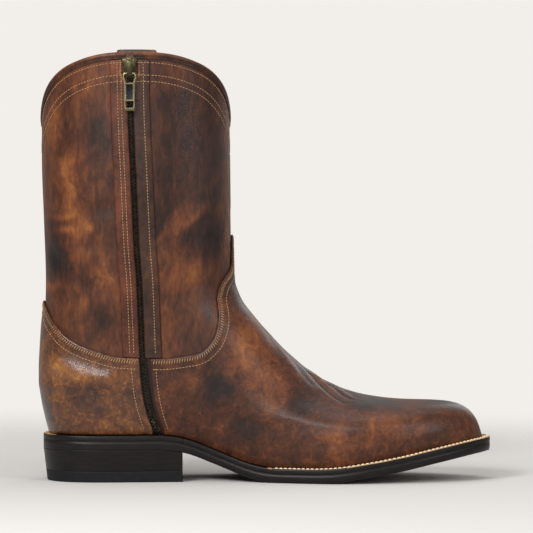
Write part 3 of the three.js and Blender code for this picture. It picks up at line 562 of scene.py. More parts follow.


# Colour of the hide, from dark (0) to rubbed tan (1), as wear has spread it; the tall light patch on
# the shaft's front edge is a painted sheen. Each patch is a side, its middle along and up the boot,
# its half length and half height, its tilt, and its change.
PATCHES = [
    (-1, 19.6, 205, 5, 26, 4, 0.30), (-1, 9.3, 157, 8, 20, 0, -0.42),
    (-1, 16.8, 170, 5.5, 3.5, 10, 0.36), (-1, 13, 180, 9, 2.6, 5, 0.28),
    (-1, 30, 176, 6, 3, -40, 0.20), (-1, 41, 144, 6, 17, 3, 0.26),
    (-1, 37, 227, 8, 20, 0, -0.14), (-1, 18.7, 238, 5, 8, 0, -0.16),
    (-1, 6.5, 241, 4, 18, 0, 0.15), (-1, 38.3, 108, 12, 13, 20, -0.26),
    (-1, 26, 123, 5, 18, 8, 0.17), (-1, 5.6, 134, 5, 5, 0, 0.30),
    (-1, 98, 213, 38, 70, 0, -0.24), (-1, 90, 261, 9, 9, 0, -0.18),
    (-1, 76, 218, 9, 30, 0, 0.10), (-1, 85.8, 172, 17, 3.4, 51, 0.28),
    (-1, 99, 178, 14, 2.4, 40, 0.16), (-1, 99, 142, 15, 12, 0, 0.26),
    # (-1, 125, 204, 5, 60, 0, 0.22) on the next line is a painted sheen up the shaft's front edge
    (-1, 112, 166, 12, 12, 0, -0.20), (-1, 125, 204, 5, 60, 0, 0.22),
    (-1, 98, 99, 22, 9, 0, -0.05), (-1, 34.5, 63, 18, 10, -10, -0.18),
    (-1, 9.3, 78, 7, 14, 0, 0.10), (-1, 138, 94, 11, 16, -20, 0.28),
    (-1, 120, 65, 9, 8, 0, -0.30), (-1, 138, 36, 8.5, 9, 0, -0.32),
    (-1, 176, 51, 9, 7, 0, -0.24), (-1, 199, 32, 8, 7, 0, 0.26),
    (-1, 234, 37, 18, 10, 10, 0.16), (-1, 224, 53, 16, 4, -5, -0.30),
    (-1, 275, 55, 16, 4.5, -5, -0.28), (-1, 280, 31, 14, 5, 10, 0.10),
    (-1, 173, 87, 22, 5, -42, -0.25), (-1, 154, 73, 14, 10, -30, 0.10),
    (-1, 1, 45, 6, 18, -8, -0.26), (-1, 101, 55, 22, 20, 0, -0.11),
    (1, 24, 214, 7, 30, 0, 0.28), (1, 12, 160, 9, 18, 0, -0.30),
    (1, 44, 190, 8, 24, 6, -0.20), (1, 70, 150, 12, 20, -10, 0.24),
    (1, 98, 215, 14, 34, 0, -0.22), (1, 114, 190, 9, 26, 8, 0.26),
    (1, 92, 120, 16, 12, 0, -0.20), (1, 30, 120, 12, 14, 0, 0.18),
    (1, 40, 66, 18, 12, 0, 0.16), (1, 22, 48, 10, 10, 0, -0.20),
    (1, 112, 74, 16, 12, -20, 0.20), (1, 146, 52, 14, 9, 0, -0.24),
    (1, 178, 60, 14, 9, -30, 0.20), (1, 210, 40, 14, 8, 0, -0.18),
    (1, 246, 36, 16, 8, 5, 0.20), (1, 274, 53, 14, 5, 0, -0.26),
]
# Cool grey mixed over the dark parts, with the same columns: a waxy bloom on the dark patches, and a
# painted grey sheen on those up the shaft's front edge
BLOOM_AND_SHEEN = [
    (-1, 112, 213, 15, 32, 0, 0.7), (-1, 124, 200, 6, 70, 0, 0.3), (-1, 224, 53, 14, 4, 0, 0.5),
    (-1, 104, 118, 16, 24, 0, 0.35),
    (-1, 176, 51, 9, 7, 0, 0.3), (-1, 120, 62, 10, 9, 0, 0.3), (-1, 138, 36, 9, 9, 0, 0.4),
    (1, 118, 200, 9, 60, 0, 0.4), (1, 60, 230, 16, 20, 0, 0.3), (1, 150, 50, 14, 9, 0, 0.3),
]


def spread(patches, turn, points):
    wrapped = turn - np.floor(turn)
    total = 0
    for side, along, height, half_along, half_height, tilt, change in patches:
        near = smooth((0.32 - np.abs(wrapped - (0.25 if side < 0 else 0.75))) / 0.08)
        c, s = math.cos(math.radians(tilt)), math.sin(math.radians(tilt))
        dx, dz = points[:, 0] - along, points[:, 2] - height
        a, b = (dx * c + dz * s) / half_along, (dz * c - dx * s) / half_height
        total = total + change * near * np.exp(-(a * a + b * b) * 0.9)
    return total


def clouds(points, size, seed, stretch=1.0):
    """Cheap smooth noise, about 0 with a reach of 1: sines that turn and mix each other."""
    x, y, z = ((points / size + seed) * np.array([1.0, 1.0, 1 / stretch])).T
    a = np.sin(x * 1.7 + 1.3 * np.sin(z * 1.1 + seed) + y * 0.9)
    b = np.sin(z * 2.3 + 1.7 * np.sin(x * 0.9 - seed) - y * 1.3)
    c = np.sin(x * 3.1 - z * 2.6 + 1.1 * a + y * 2.1)
    return (a + b + 0.7 * c) / 2.7


def wear_and_painted_light(turn, points, base):
    """Tone, grey bloom and sheen, and share of crack lines that the hide has at those points; the
    tone holds painted shade in crease troughs and painted highlights on ridges.
    """
    warp = [clouds(points, size, seed) for size, seed in ((9, 3.1), (11, 7.7), (10, 5.3))]
    moved = points + 3.2 * np.stack(warp, 1)
    # Painted light: the relief term darkens the tone in crease troughs as shade and lightens it on
    # ridges, the counter's ridge among them, as highlight.
    tone = base + spread(PATCHES, turn, moved) + 0.07 * clouds(moved, 13, 1.9, 2.2) \
        + 0.05 * clouds(moved, 5, 4.4, 2.6) + 0.16 * relief(points)
    wrapped = turn - np.floor(turn)
    leg = smooth((points[:, 2] - 90) / 50)
    veins = 0.10 + 0.9 * leg * smooth((wrapped - 0.40) / 0.08) * smooth((0.97 - wrapped) / 0.1)
    return {"tone": np.clip(tone, 0, 1), "bloom_and_sheen": np.clip(spread(BLOOM_AND_SHEEN, turn, moved), 0, 1),
            "veins": veins}


# Pull-up cowhide, drum dyed brown, waxed and buffed by hand: the wax moves under bends and rubs, so
# the tone runs from near black to tan, with pale hairline cracks and a soft gloss. The tone it reads
# also holds painted shade in crease troughs and painted highlights on ridges and edges, and its cool
# grey is partly a painted sheen.
GRAIN_MM = 1.1
HIDE_LAYERS = {
    # size in millimetres, detail, swirl and share in the tone
    "mottle": (26.0, 5, 1.3, 0.60), "wisp": (9.0, 4, 1.6, 0.52), "speck": (2.2, 3, 0.0, 0.34),
}
LAYERS_MIDDLE = 0.73
CRACK_WIDTH = 0.07
BLOOM_AND_SHEEN_SHADE = "#332b2a"
BLOOM_AND_SHEEN_SHARE = 0.6
HIDE_SHADES = ["#160c0a", "#2b1710", "#472515", "#67381c", "#875127", "#ac763e"]


def per_mm(size):
    """Texture scale for a pattern of that size: the coordinates are in metres."""
    return 1 / (size * MM)


def shade_stops(ramp, shades, start=0.0, end=1.0):
    stops = ramp.color_ramp.elements
    stops.remove(stops[1])
    for i, shade in enumerate(shades):
        place = start + (end - start) * i / (len(shades) - 1)
        stop = stops.new(place) if i else stops[0]
        stop.position = place
        stop.color = linear(shade)


def hide(name, shades, crack=0.35, streak=2.4, rough=0.5, crack_mm=9.0, coat=0.14, shine=0.26):
    material, tree, coords = new_material(name)
    stretched = add_node(tree, "Mapping", {"Scale": (1, 1, 1 / streak)}, {"Vector": coords})
    worn_and_lit = {label: add_node(tree, "Attribute", {"attribute_name": label}).outputs["Fac"]
            for label in ("tone", "bloom_and_sheen", "veins")}
    total = worn_and_lit["tone"]
    layers = {}
    for label, (size, detail, swirl, share) in HIDE_LAYERS.items():
        layers[label] = add_node(tree, "TexNoise", {"Scale": per_mm(size), "Detail": detail,
                                                    "Roughness": 0.6, "Distortion": swirl},
                                 {"Vector": stretched})
        total = add_node(tree, "Math", {"operation": "MULTIPLY_ADD", 1: share},
                         {0: layers[label], 2: total})
    level = add_node(tree, "Math", {"operation": "SUBTRACT", 1: LAYERS_MIDDLE}, {0: total})
    bent = add_node(tree, "TexNoise", {"Scale": per_mm(crack_mm * 1.4), "Detail": 4},
                    {"Vector": coords}).outputs["Color"]
    shifted = add_node(tree, "VectorMath", {"operation": "MULTIPLY_ADD",
                                            1: (crack_mm * MM * 1.3,) * 3}, {0: bent, 2: stretched})
    cells = add_node(tree, "TexVoronoi", {"feature": "DISTANCE_TO_EDGE",
                                          "Scale": per_mm(crack_mm)}, {"Vector": shifted})
    line = add_node(tree, "MapRange", {"From Max": CRACK_WIDTH, "To Min": 1.0, "To Max": 0.0},
                    {"Value": cells})
    patchy = add_node(tree, "MapRange", {"From Min": 0.40, "From Max": 0.62, "To Max": crack},
                      {"Value": layers["wisp"]})
    cracks = add_node(tree, "Math", {"operation": "MULTIPLY"}, {0: line, 1: patchy})
    lifted = add_node(tree, "Math", {"operation": "MULTIPLY_ADD"},
                      {0: cracks, 1: worn_and_lit["veins"], 2: level})
    ramp = add_node(tree, "ValToRGB", None, {0: lifted})
    shade_stops(ramp, shades)
    # Cool grey mixed into the colour: waxy bloom, and a painted sheen along the shaft's front edge
    bloom_and_sheen = add_node(tree, "Math", {"operation": "MULTIPLY", 1: BLOOM_AND_SHEEN_SHARE}, {0: worn_and_lit["bloom_and_sheen"]})
    cooled = add_node(tree, "Mix", {"data_type": "RGBA", 7: linear(BLOOM_AND_SHEEN_SHADE)},
                      {0: bloom_and_sheen, 6: ramp}).outputs[2]
    pebble = add_node(tree, "TexVoronoi", {"Scale": per_mm(GRAIN_MM)}, {"Vector": coords})
    grain = add_node(tree, "Bump", {"Strength": 0.12, "Distance": 0.0003}, {"Height": pebble})
    soft = add_node(tree, "Bump", {"Strength": 0.3, "Distance": 0.0010},
                    {"Height": layers["wisp"], "Normal": grain})
    gloss = add_node(tree, "MapRange", {"From Min": 0.2, "From Max": 0.8, "To Min": rough - 0.08,
                                        "To Max": rough + 0.1}, {"Value": level})
    return finished(material, add_node(
        tree, "BsdfPrincipled", {"IOR": 1.36, "Coat Weight": coat, "Coat Roughness": shine},
        {"Base Color": cooled, "Roughness": gloss, "Normal": soft, "Coat Normal": soft}))


# Plain leather and rubber: vegetable-tanned linings, edge-inked soles, thread and cloth, each
# with a soft mottle and a fine grain
def plain(name, dark, light, size, rough, bump=0.15, metal=0.0, ior=1.4, stretch=(1, 1, 1)):
    material, tree, coords = new_material(name)
    mapped = add_node(tree, "Mapping", {"Scale": stretch}, {"Vector": coords})
    mottle = add_node(tree, "TexNoise", {"Scale": per_mm(size), "Detail": 5, "Roughness": 0.6},
                      {"Vector": mapped})
    ramp = add_node(tree, "ValToRGB", None, {0: mottle})
    shade_stops(ramp, (dark, light), 0.3, 0.7)
    grain = add_node(tree, "Bump", {"Strength": bump, "Distance": 0.0003}, {"Height": mottle})
    return finished(material, add_node(
        tree, "BsdfPrincipled", {"Roughness": rough, "Metallic": metal, "IOR": ior},
        {"Base Color": ramp, "Normal": grain}))


# Shaft
# The leg of the boot in one hide, open at the scalloped collar and slit for the zip, with its
# lining glued inside. It runs down under the vamp and counter to the featherline.
TAPE_SIDE = 9
SHAFT_TONE = 0.46
# How much darker the shaft is painted beside the zip, as shade in the gap by the vamp's edge
GAP_SHADE_TONE = 0.34
shaft_hide = hide("waxed pull-up cowhide", HIDE_SHADES, crack=0.42, crack_mm=13.0)
lining = plain("vegetable-tanned lining", "#8f6c47", "#b08b60", 14, 0.75)
cut_edge = plain("cut leather edge", "#2a1710", "#4a2c1c", 3, 0.7)


def shaft_place(u, v):
    level = v * (SHAFT_LEVEL - 10)
    for _ in range(4):
        start = turn_near_zip(level, SLOT_HALF)
        end = 1 + turn_near_zip(level, -SLOT_HALF)
        turn = start + (end - start) * u
        level = v * collar_level(turn)
    points = skin(turn, level, 0.0)
    beside_zip = np.abs(points[:, 0] - zip_along(level))
    # Painted shade: the shaft is darkened beside the zip below the lap, where it shows in the narrow
    # gap between the teeth and the vamp's edge
    gap_shade = smooth((TAPE_SIDE - beside_zip) / 2) * (level < lap_level(turn)) * (points[:, 1] < 0)
    return points, wear_and_painted_light(turn, points, SHAFT_TONE - GAP_SHADE_TONE * gap_shade)


put("shaft", grid_mesh("shaft", 236, 168, shaft_place), [shaft_hide, cut_edge, lining],
    replaces=("upper",), wall=WALL, inside=2)


# Vamp and counter
# Two hides lapped over the shaft: the vamp over the forefoot, with its tongue up the front, and
# the counter round the heel. Their upper edges are cut clean and sewn down.
ROUND_EDGE = 1.4
EDGE_DROP = 0.55
EDGE_POINTS = 0.75
VAMP_EDGE = 5.2
VAMP_TONE = 0.39
COUNTER_TONE = 0.41


def steps_along(points):
    return np.concatenate([[0], np.cumsum(np.linalg.norm(np.diff(points, axis=0), axis=1))])


def lap_place(start_at, end_at, base, veins):
    """Sheet up to the lap seam; its columns stand evenly along the seam for the most part."""
    turns = np.linspace(start_at(60.0).item(), end_at(60.0).item(), 2400)
    length = steps_along(surface(turns, lap_level(turns)))
    spread_out = length / length[-1] * EDGE_POINTS + np.linspace(0, 1 - EDGE_POINTS, len(length))

    def place(u, v):
        share = (np.interp(u, spread_out, turns) - turns[0]) / (turns[-1] - turns[0])
        level = v * ANKLE_LEVEL * 0.6
        for _ in range(5):
            start, end = start_at(level), end_at(level)
            turn = start + (end - start) * share
            top = lap_level(turn)
            level = v * top
        drop = EDGE_DROP * np.clip(1 - (1 - v) * top / ROUND_EDGE, 0, 1) ** 2
        points = skin(turn, level, LAP_TOP - drop)
        return points, wear_and_painted_light(turn, points, base) | {"veins": np.full_like(u, veins)}

    return place


vamp_hide = hide("waxed cowhide, vamp", HIDE_SHADES, crack=0.2, streak=1.2, rough=0.5, coat=0.12)
vamp_place = lap_place(lambda level: turn_near_zip(level, VAMP_EDGE),
                       lambda level: turn_near_seam(level, GAP), VAMP_TONE, 0.3)
put("vamp", grid_mesh("vamp", 330, 96, vamp_place), [vamp_hide, cut_edge],
    replaces=("vamp",), wall=PANEL)

counter_hide = hide("waxed cowhide, counter",
                    ["#160c08", "#2e180d", "#4e2a14", "#70421d", "#8f5d29", "#b5823f"],
                    crack=0.22, streak=1.0, rough=0.45, crack_mm=4.5, coat=0.55, shine=0.20)
counter_place = lap_place(lambda level: turn_near_seam(level, -GAP),
                          lambda level: 1 + turn_near_zip(level, -SLOT_HALF), COUNTER_TONE, 1.0)
put("counter", grid_mesh("counter", 190, 74, counter_place), [counter_hide, cut_edge],
    replaces=("counter",), wall=PANEL)


# Collar binding
# A narrow strip of lighter leather folded over the rim and caught by the first stitch row. It
# runs from one edge of the zip right round to the other.
BINDING_DEPTH = 3.7
BINDING_PROFILE = [
    # offset from the shaft's face, rise over the rim
    (0.1, -3.6), (0.5, -3.5), (0.6, -2.6), (0.45, -1.9), (0.75, -1.2), (0.9, -0.2), (0.7, 0.7),
    (0.1, 1.3), (-0.9, 1.5), (-2.0, 1.4), (-2.8, 0.8), (-3.2, -0.2), (-3.2, -1.6), (-3.1, -2.9),
    (-2.8, -3.6), (-2.4, -3.7), (-2.35, -1.5), (-2.3, 0.15), (-1.1, 0.3), (0.05, 0.15),
    (0.05, -1.6), (0.1, -3.6),
]
RIM_STEP = 0.002
BINDING_TONE = 0.30
RIM_TOP_TONE = 0.26


def profile_at(profile, v):
    """The columns of a closed profile at v, with its corners spaced evenly."""
    stops = np.linspace(0, 1, len(profile))
    return [np.interp(v, stops, column) for column in np.array(profile).T]


def steepness(turn):
    here, there = (surface(turn + step, collar_level(turn + step)) for step in (-RIM_STEP, RIM_STEP))
    x, y, z = (there - here).T
    return np.sqrt(1 + (z / np.hypot(x, y)) ** 2)


def zip_side_turn(beside_zip):
    return turn_near_zip(collar_level(0.18), beside_zip).item()


def binding_place(u, v):
    start, end = zip_side_turn(SLOT_HALF), 1 + zip_side_turn(-SLOT_HALF)
    turn = start + (end - start) * u
    offset, height = profile_at(BINDING_PROFILE, v)
    rise = np.where(height < 0, height * steepness(turn), height)
    points = skin(turn, collar_level(turn) + np.minimum(rise, 0), offset)
    points[:, 2] += np.maximum(rise, 0)
    # The binding is made lighter where it runs over the top of the rim
    return points, wear_and_painted_light(turn, points, BINDING_TONE + RIM_TOP_TONE * smooth((height + 1) / 1.4))


binding_hide = hide("skived cowhide binding", HIDE_SHADES[:-1] + ["#a9743f"], crack=0.2,
                    streak=1.0, rough=0.5)
put("collar_binding", grid_mesh("collar_binding", 420, 21, binding_place, weld=True),
    [binding_hide], replaces=("collar_binding",))


# Zip facings
# Two folded leather strips sewn along the slit so that only the teeth show between them. The back
# one is a redder piece of hide, the front one nearly black.
FACING_NEAR = 1.7
FACING_FAR = 13.2
FACING_TOP = 1.5
FACING_SKIN = 1.0
FACING_ROUND = 1.2
FACING_DROP = 0.6
FOLD_WIDTH = 2.2
FOLD_TONE = 0.35
# Painted highlight: a lighter line along each facing's far, folded edge
FAR_EDGE_HIGHLIGHT = 0.12
SLIDER_ROOM = 3.6
SLIDER_REACH = 22
FACINGS = [
    # piece, material, side of the zip, slot, tone, cracks and shades
    ("zip_facing_back", "waxed cowhide, back zip facing", -1, "brown_leather", 0.50, 0.15,
     ["#1a0d0a", "#2f160e", "#482314", "#62321e", "#7d4528", "#a2683c"]),
    ("zip_facing_front", "waxed cowhide, front zip facing", 1, "dark_leather", 0.44, 0.1,
     ["#160d0a", "#27160f", "#3c2318", "#52301f", "#6b4128", "#9a6a42"]),
]
zip_top = collar_level(turn_near_zip(250.0, 0.0)).item()


def facing_place(direction, base):
    def place(u, v):
        out = u if direction > 0 else 1 - u
        level = 150.0
        for _ in range(5):
            near = FACING_NEAR + SLIDER_ROOM * smooth((level - zip_top + SLIDER_REACH) / 9)
            turn = turn_near_zip(level, direction * (near + (FACING_FAR - near) * out))
            low = lap_level(turn) + GAP
            level = low + (collar_level(turn) - BINDING_DEPTH - low) * v
        edge = np.minimum(u, 1 - u) * (FACING_FAR - FACING_NEAR)
        drop = FACING_DROP * np.clip(1 - edge / FACING_ROUND, 0, 1) ** 2
        points = skin(turn, level, FACING_TOP - drop)
        rolled = smooth((FOLD_WIDTH - out * (FACING_FAR - near)) / FACING_ROUND)
        rubbed = FOLD_TONE * smooth((level - zip_top + SLIDER_REACH) / 6) * rolled
        # The far edge of the facing is painted lighter, as a highlight on the fold
        return points, wear_and_painted_light(turn, points, base + rubbed + FAR_EDGE_HIGHLIGHT * smooth((out - 0.9) / 0.08))

    return place


for name, finish, direction, slot, base, crack, shades in FACINGS:
    put(name, grid_mesh(name, 12, 190, facing_place(direction, base)),
        [hide(finish, shades, crack=crack, streak=1.6, rough=0.5), cut_edge],
        replaces=(name,), wall=FACING_SKIN, rim=0)


# Zip
# A closed metal zip: black woven tape in the slit, and blackened teeth that reach past each other
# from the two tapes in turn.
TOOTH_PITCH = 1.15
TOOTH_SIZE = (2.3, 0.86, 1.0)
TOOTH_SHIFT = 0.34
TOOTH_LIFT = 0.35
TEETH_FOOT = 3.5
STOP_LEVEL = 1.6
STOP_SIZE = (4.4, 3.0, 1.6)
SLIDER_DROP = 9
SLIDER_LENGTH = 13.5


def copies(name, shape, places, x_axis, y_axis, z_axis):
    """One mesh of many copies of a small shape, each at its place with its own three axes."""
    shape.verts.index_update()
    corners = np.array([vertex.co[:] for vertex in shape.verts])
    faces = [[vertex.index for vertex in face.verts] for face in shape.faces]
    shape.free()
    moved = places[:, None] + corners @ np.stack([x_axis, y_axis, z_axis], 1)
    mesh = bpy.data.meshes.new(name)
    mesh.from_pydata(to_row_frame(moved.reshape(-1, 3)).tolist(), [],
                     [[i + copy * len(corners) for i in face] for copy in range(len(places))
                      for face in faces])
    return mesh


def resample(points, pitch):
    """Evenly spaced places along a line of points, as numbers between those of the points."""
    steps = steps_along(points)
    count = max(int(steps[-1] / pitch), 1)
    return np.interp((np.arange(count) + 0.5) * steps[-1] / count, steps, np.arange(len(points)))


def block(size, bevel, segments):
    bm = bmesh.new()
    bmesh.ops.create_cube(bm, size=1)
    bmesh.ops.scale(bm, vec=size, verts=bm.verts)
    bmesh.ops.bevel(bm, geom=bm.edges, offset=bevel, segments=segments, profile=0.5,
                    affect="EDGES", material=-1)
    return bm


def on_zip(level, normal_level):
    """Places on the middle of the zip, and the directions beside it, along it and outwards."""
    turn = turn_near_zip(level, 0.0)
    here = surface(turn, level)
    out = normal_at(turn, normal_level)
    run = unit(surface(turn_near_zip(level + 0.5, 0.0), level + 0.5) - here)
    return here, unit(np.cross(run, out)), run, out


levels = np.linspace(TEETH_FOOT, zip_top - SLIDER_DROP - SLIDER_LENGTH * 0.3, 500)
index = resample(surface(turn_near_zip(levels, 0.0), levels), TOOTH_PITCH)
levels = np.interp(index, np.arange(500), levels)
here, beside_run, run, out = on_zip(levels, levels)
side = np.where(np.arange(len(levels)) % 2 == 0, 1.0, -1.0)[:, None]
here = here + beside_run * side * TOOTH_SHIFT + out * TOOTH_LIFT
blackened = plain("blackened zip metal", "#191714", "#4c4236", 2.5, 0.3, metal=0.85, bump=0.05)
put("zip_chain", copies("zip_chain", block(TOOTH_SIZE, 0.18, 1), here, beside_run, run, out),
    [blackened], replaces=("zip_chain",))
put("zip_stop", copies("zip_stop", block(STOP_SIZE, 0.3, 2), *on_zip(STOP_LEVEL, STOP_LEVEL + 2)),
    [blackened])

# Twill weave of the tape, drawn at its real thread spacing
THREAD_MM = 0.5
tape_cloth, tree, coords = new_material("woven polyester tape")
twill = add_node(tree, "TexWave", {"Scale": per_mm(THREAD_MM) / 20, "Distortion": 0.4,
                                   "bands_direction": "DIAGONAL"}, {"Vector": coords})
twill_bump = add_node(tree, "Bump", {"Strength": 0.4, "Distance": 0.0002},
                      {"Height": twill.outputs["Fac"]})
finished(tape_cloth, add_node(
    tree, "BsdfPrincipled", {"Base Color": linear("#12100f"), "Roughness": 0.9,
                             "Sheen Weight": 0.2}, {"Normal": twill_bump}))


def dress(node, material):
    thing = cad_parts[node]
    thing.data.materials.clear()
    thing.data.materials.append(material)


dress("zip_tape", tape_cloth)


# Slider
# A die-cast body that wraps the teeth, with a bridge over it that holds the pull. It is plated
# antique brass: dark in the hollows and rubbed bright on the rims.
SLIDER_WIDTH = 10.5
PLATE_BASE = 1.9
PLATE_THICK = 1.3
CORE_HALF = 1.9
CORE_LOW = -6.4
CORE_HIGH = 6.6
BRIDGE_LENGTH = 12
BRIDGE_WIDTH = 3.4
BRIDGE_WALL = 1.1
BRIDGE_CLEAR = 2.2
BRIDGE_CORNER = 2.2
BRIDGE_CHAMFER = 0.6
SLIDER_OUTLINE = [
    # across and along, as shares of half the width and half the length; one side only
    (0.34, -1.0), (0.66, -0.94), (0.74, -0.6), (0.70, -0.1), (0.86, 0.35), (1.0, 0.62),
    (0.92, 0.86), (0.55, 1.0), (0.20, 0.86),
]
slider_level = zip_top - SLIDER_DROP
(slider_place,), _, _, (slider_out,) = on_zip(slider_level, slider_level)
slider_across = unit(np.array([-slider_out[1], slider_out[0], 0.0]))
slider_up = unit(np.cross(slider_out, slider_across))


def prism(bm, points, low, high):
    """Solid between two heights from a flat outline; it gives back its corners."""
    corners = [bm.verts.new((x, y, low)) for x, y in points]
    raised = bmesh.ops.extrude_face_region(bm, geom=[bm.faces.new(corners)])["geom"]
    tops = [item for item in raised if isinstance(item, bmesh.types.BMVert)]
    bmesh.ops.translate(bm, vec=(0, 0, high - low), verts=tops)
    return corners + tops


def cast(name, bm, rounding, across, up, out, place):
    """Metal mesh with its sharp edges rounded, set at its place with its own three axes."""
    sharp = [e for e in bm.edges if len(e.link_faces) == 2 and e.calc_face_angle() > 0.7]
    bmesh.ops.bevel(bm, geom=sharp, offset=rounding, segments=2, profile=0.5, affect="EDGES",
                    material=-1, clamp_overlap=True)
    bmesh.ops.recalc_face_normals(bm, faces=bm.faces)
    turned = Matrix((across, up, out)).transposed().to_4x4()
    moved = Matrix.Translation(Vector(to_row_frame(place))) @ Matrix.Scale(MM, 4) @ turned
    bmesh.ops.transform(bm, matrix=moved, verts=bm.verts)
    mesh = mesh_of(name, bm)
    mesh.shade_smooth()
    mesh.set_sharp_from_angle(angle=math.radians(40))
    return mesh


half_outline = [(x * SLIDER_WIDTH / 2, y * SLIDER_LENGTH / 2) for x, y in SLIDER_OUTLINE]
bm = bmesh.new()
prism(bm, half_outline + [(-x, y) for x, y in reversed(half_outline)], PLATE_BASE,
      PLATE_BASE + PLATE_THICK)
prism(bm, [(-CORE_HALF, CORE_LOW), (CORE_HALF, CORE_LOW), (CORE_HALF, CORE_HIGH),
           (-CORE_HALF, CORE_HIGH)], -0.3, PLATE_BASE + 0.2)
reach = BRIDGE_LENGTH / 2
inner_reach = reach - BRIDGE_WALL
arch = [(reach, 0)]
for corner, turn_from in ((1, 0), (-1, 90)):
    for step in range(5):
        angle = math.radians(turn_from + 90 * step / 4)
        arch.append((corner * (reach - BRIDGE_CORNER) + BRIDGE_CORNER * math.cos(angle),
                     BRIDGE_CLEAR + BRIDGE_WALL + BRIDGE_CORNER * (math.sin(angle) - 1)))
arch += [(-reach, 0), (-inner_reach, 0), (-inner_reach, BRIDGE_CLEAR - BRIDGE_CHAMFER),
         (-inner_reach + BRIDGE_CHAMFER, BRIDGE_CLEAR),
         (inner_reach - BRIDGE_CHAMFER, BRIDGE_CLEAR),
         (inner_reach, BRIDGE_CLEAR - BRIDGE_CHAMFER), (inner_reach, 0)]
bmesh.ops.transform(bm, verts=prism(bm, arch, -BRIDGE_WIDTH / 2, BRIDGE_WIDTH / 2),
                    matrix=Matrix(((0, 0, 1, 0), (1, 0, 0, 0),
                                   (0, 1, 0, PLATE_BASE + PLATE_THICK), (0, 0, 0, 1))))


def brass(name, dark, light, rough):
    """Antique plated brass: brown-black in the hollows, greenish yellow where it is rubbed."""
    material, tree, coords = new_material(name)
    edges = add_node(tree, "NewGeometry").outputs["Pointiness"]
    grime = add_node(tree, "TexNoise", {"Scale": per_mm(2.2), "Detail": 5, "Roughness": 0.7},
                     {"Vector": coords})
    rubbed = add_node(tree, "MapRange", {"From Min": 0.49, "From Max": 0.60}, {"Value": edges})
    share = add_node(tree, "Math", {"operation": "MULTIPLY_ADD", 1: 0.5, "use_clamp": True},
                     {0: grime, 2: rubbed})
    colour = add_node(tree, "Mix", {"data_type": "RGBA", 6: linear(dark), 7: linear(light)},
                      {0: share}).outputs[2]
    pits = add_node(tree, "Bump", {"Strength": 0.12, "Distance": 0.0002}, {"Height": grime})
    return finished(material, add_node(tree, "BsdfPrincipled", {"Metallic": 1.0, "Roughness": rough},
                                       {"Base Color": colour, "Normal": pits}))


put("zip_slider", cast("zip_slider", bm, 0.28, slider_across, slider_up, slider_out, slider_place),
    [brass("antique brass, body", "#100f0c", "#565039", 0.36)],
    replaces=("zip_slider",))


# Pull tab
# A stamped tab with flared shoulders, a rolled rim, a sunk panel and a window at its foot. Its
# top bar turns in the bridge, so it swings on its own body.
TAB_THICK = 1.2
TAB_RAIL = 1.25
TAB_ROWS = [
    # height under the bar, half width, and what the middle is from there down
    (0.6, 3.5, "bar"), (-0.6, 4.4, "hole"), (-2.6, 4.7, "hole"), (-4.6, 4.2, "hole"),
    (-6.2, 3.75, "bar"), (-7.0, 3.7, "panel"), (-17.6, 3.7, "bar"), (-18.6, 3.7, "hole"),
    (-22.9, 3.7, "bar"), (-25.0, 3.2, "end"),
]
PANEL_AREA = 20
PANEL_RIM = 0.3
bar_place = -BRIDGE_LENGTH / 2 + BRIDGE_WALL + BRIDGE_CLEAR / 2
pivot = slider_place + slider_up * bar_place \
    + slider_out * (PLATE_BASE + PLATE_THICK + BRIDGE_CLEAR / 2)
bm = bmesh.new()
bmesh.ops.create_grid(bm, x_segments=3, y_segments=len(TAB_ROWS) - 1, size=0.5)
for vertex in bm.verts:
    column = round((vertex.co.x + 0.5) * 3)
    height, half, _ = TAB_ROWS[round((0.5 - vertex.co.y) * (len(TAB_ROWS) - 1))]
    vertex.co = ((-half, -half + TAB_RAIL, half - TAB_RAIL, half)[column], height, 0)
holes = []
for face in bm.faces:
    middle = face.calc_center_median()
    rows_above = [kind for height, _, kind in TAB_ROWS if height > middle.y]
    if abs(middle.x) < 1 and rows_above[-1] == "hole":
        holes.append(face)
bmesh.ops.delete(bm, geom=holes, context="FACES")
back = bmesh.ops.extrude_face_region(bm, geom=bm.faces[:])["geom"]
bmesh.ops.translate(bm, vec=(0, 0, -TAB_THICK),
                    verts=[v for v in back if isinstance(v, bmesh.types.BMVert)])
bmesh.ops.recalc_face_normals(bm, faces=bm.faces)
panels = [f for f in bm.faces if abs(f.normal.z) > 0.9 and f.calc_area() > PANEL_AREA
          and abs(f.calc_center_median().x) < 0.1]
for panel in panels:
    bmesh.ops.inset_region(bm, faces=[panel], thickness=PANEL_RIM, depth=-PANEL_RIM)
    panel.material_index = 1
plumb = np.array([0.0, 0.0, 1.0])
tab_out = np.cross(slider_across, plumb)
put("pull_tab", cast("pull_tab", bm, 0.2, slider_across, plumb, tab_out,
                     pivot + tab_out * TAB_THICK / 2),
    [brass("antique brass, pull", "#2c281f", "#837a5c", 0.34),
     brass("antique brass, sunk panel", "#16161a", "#3a3a3c", 0.42)],
    body="pull_tab", replaces=("pull_tab",))


# Pull strap
# One leather strap folded over the rim on the outer side and sewn down outside and inside. It
# stands a little off the shaft, so a dark gap shows behind it.
STRAP_WIDTH = 27
STRAP_THICK = 2.2
STRAP_OUTER = 65
STRAP_INNER = 42
STRAP_RISE = 3.4
STRAP_SLACK = 3
STRAP_PLACE = 64
BINDING_OUTER = 1.4
ROUTE_STEP = 0.004
STRAP_TONE = 0.42

seat_out = BINDING_OUTER + GAP
seat_in = -WALL - seat_out
middle, radius = (seat_out + STRAP_SLACK + seat_in) / 2, (seat_out + STRAP_SLACK - seat_in) / 2
up, over, down = np.linspace(0, 1, 24), np.linspace(0, math.pi, 13), np.linspace(0, 1, 14)
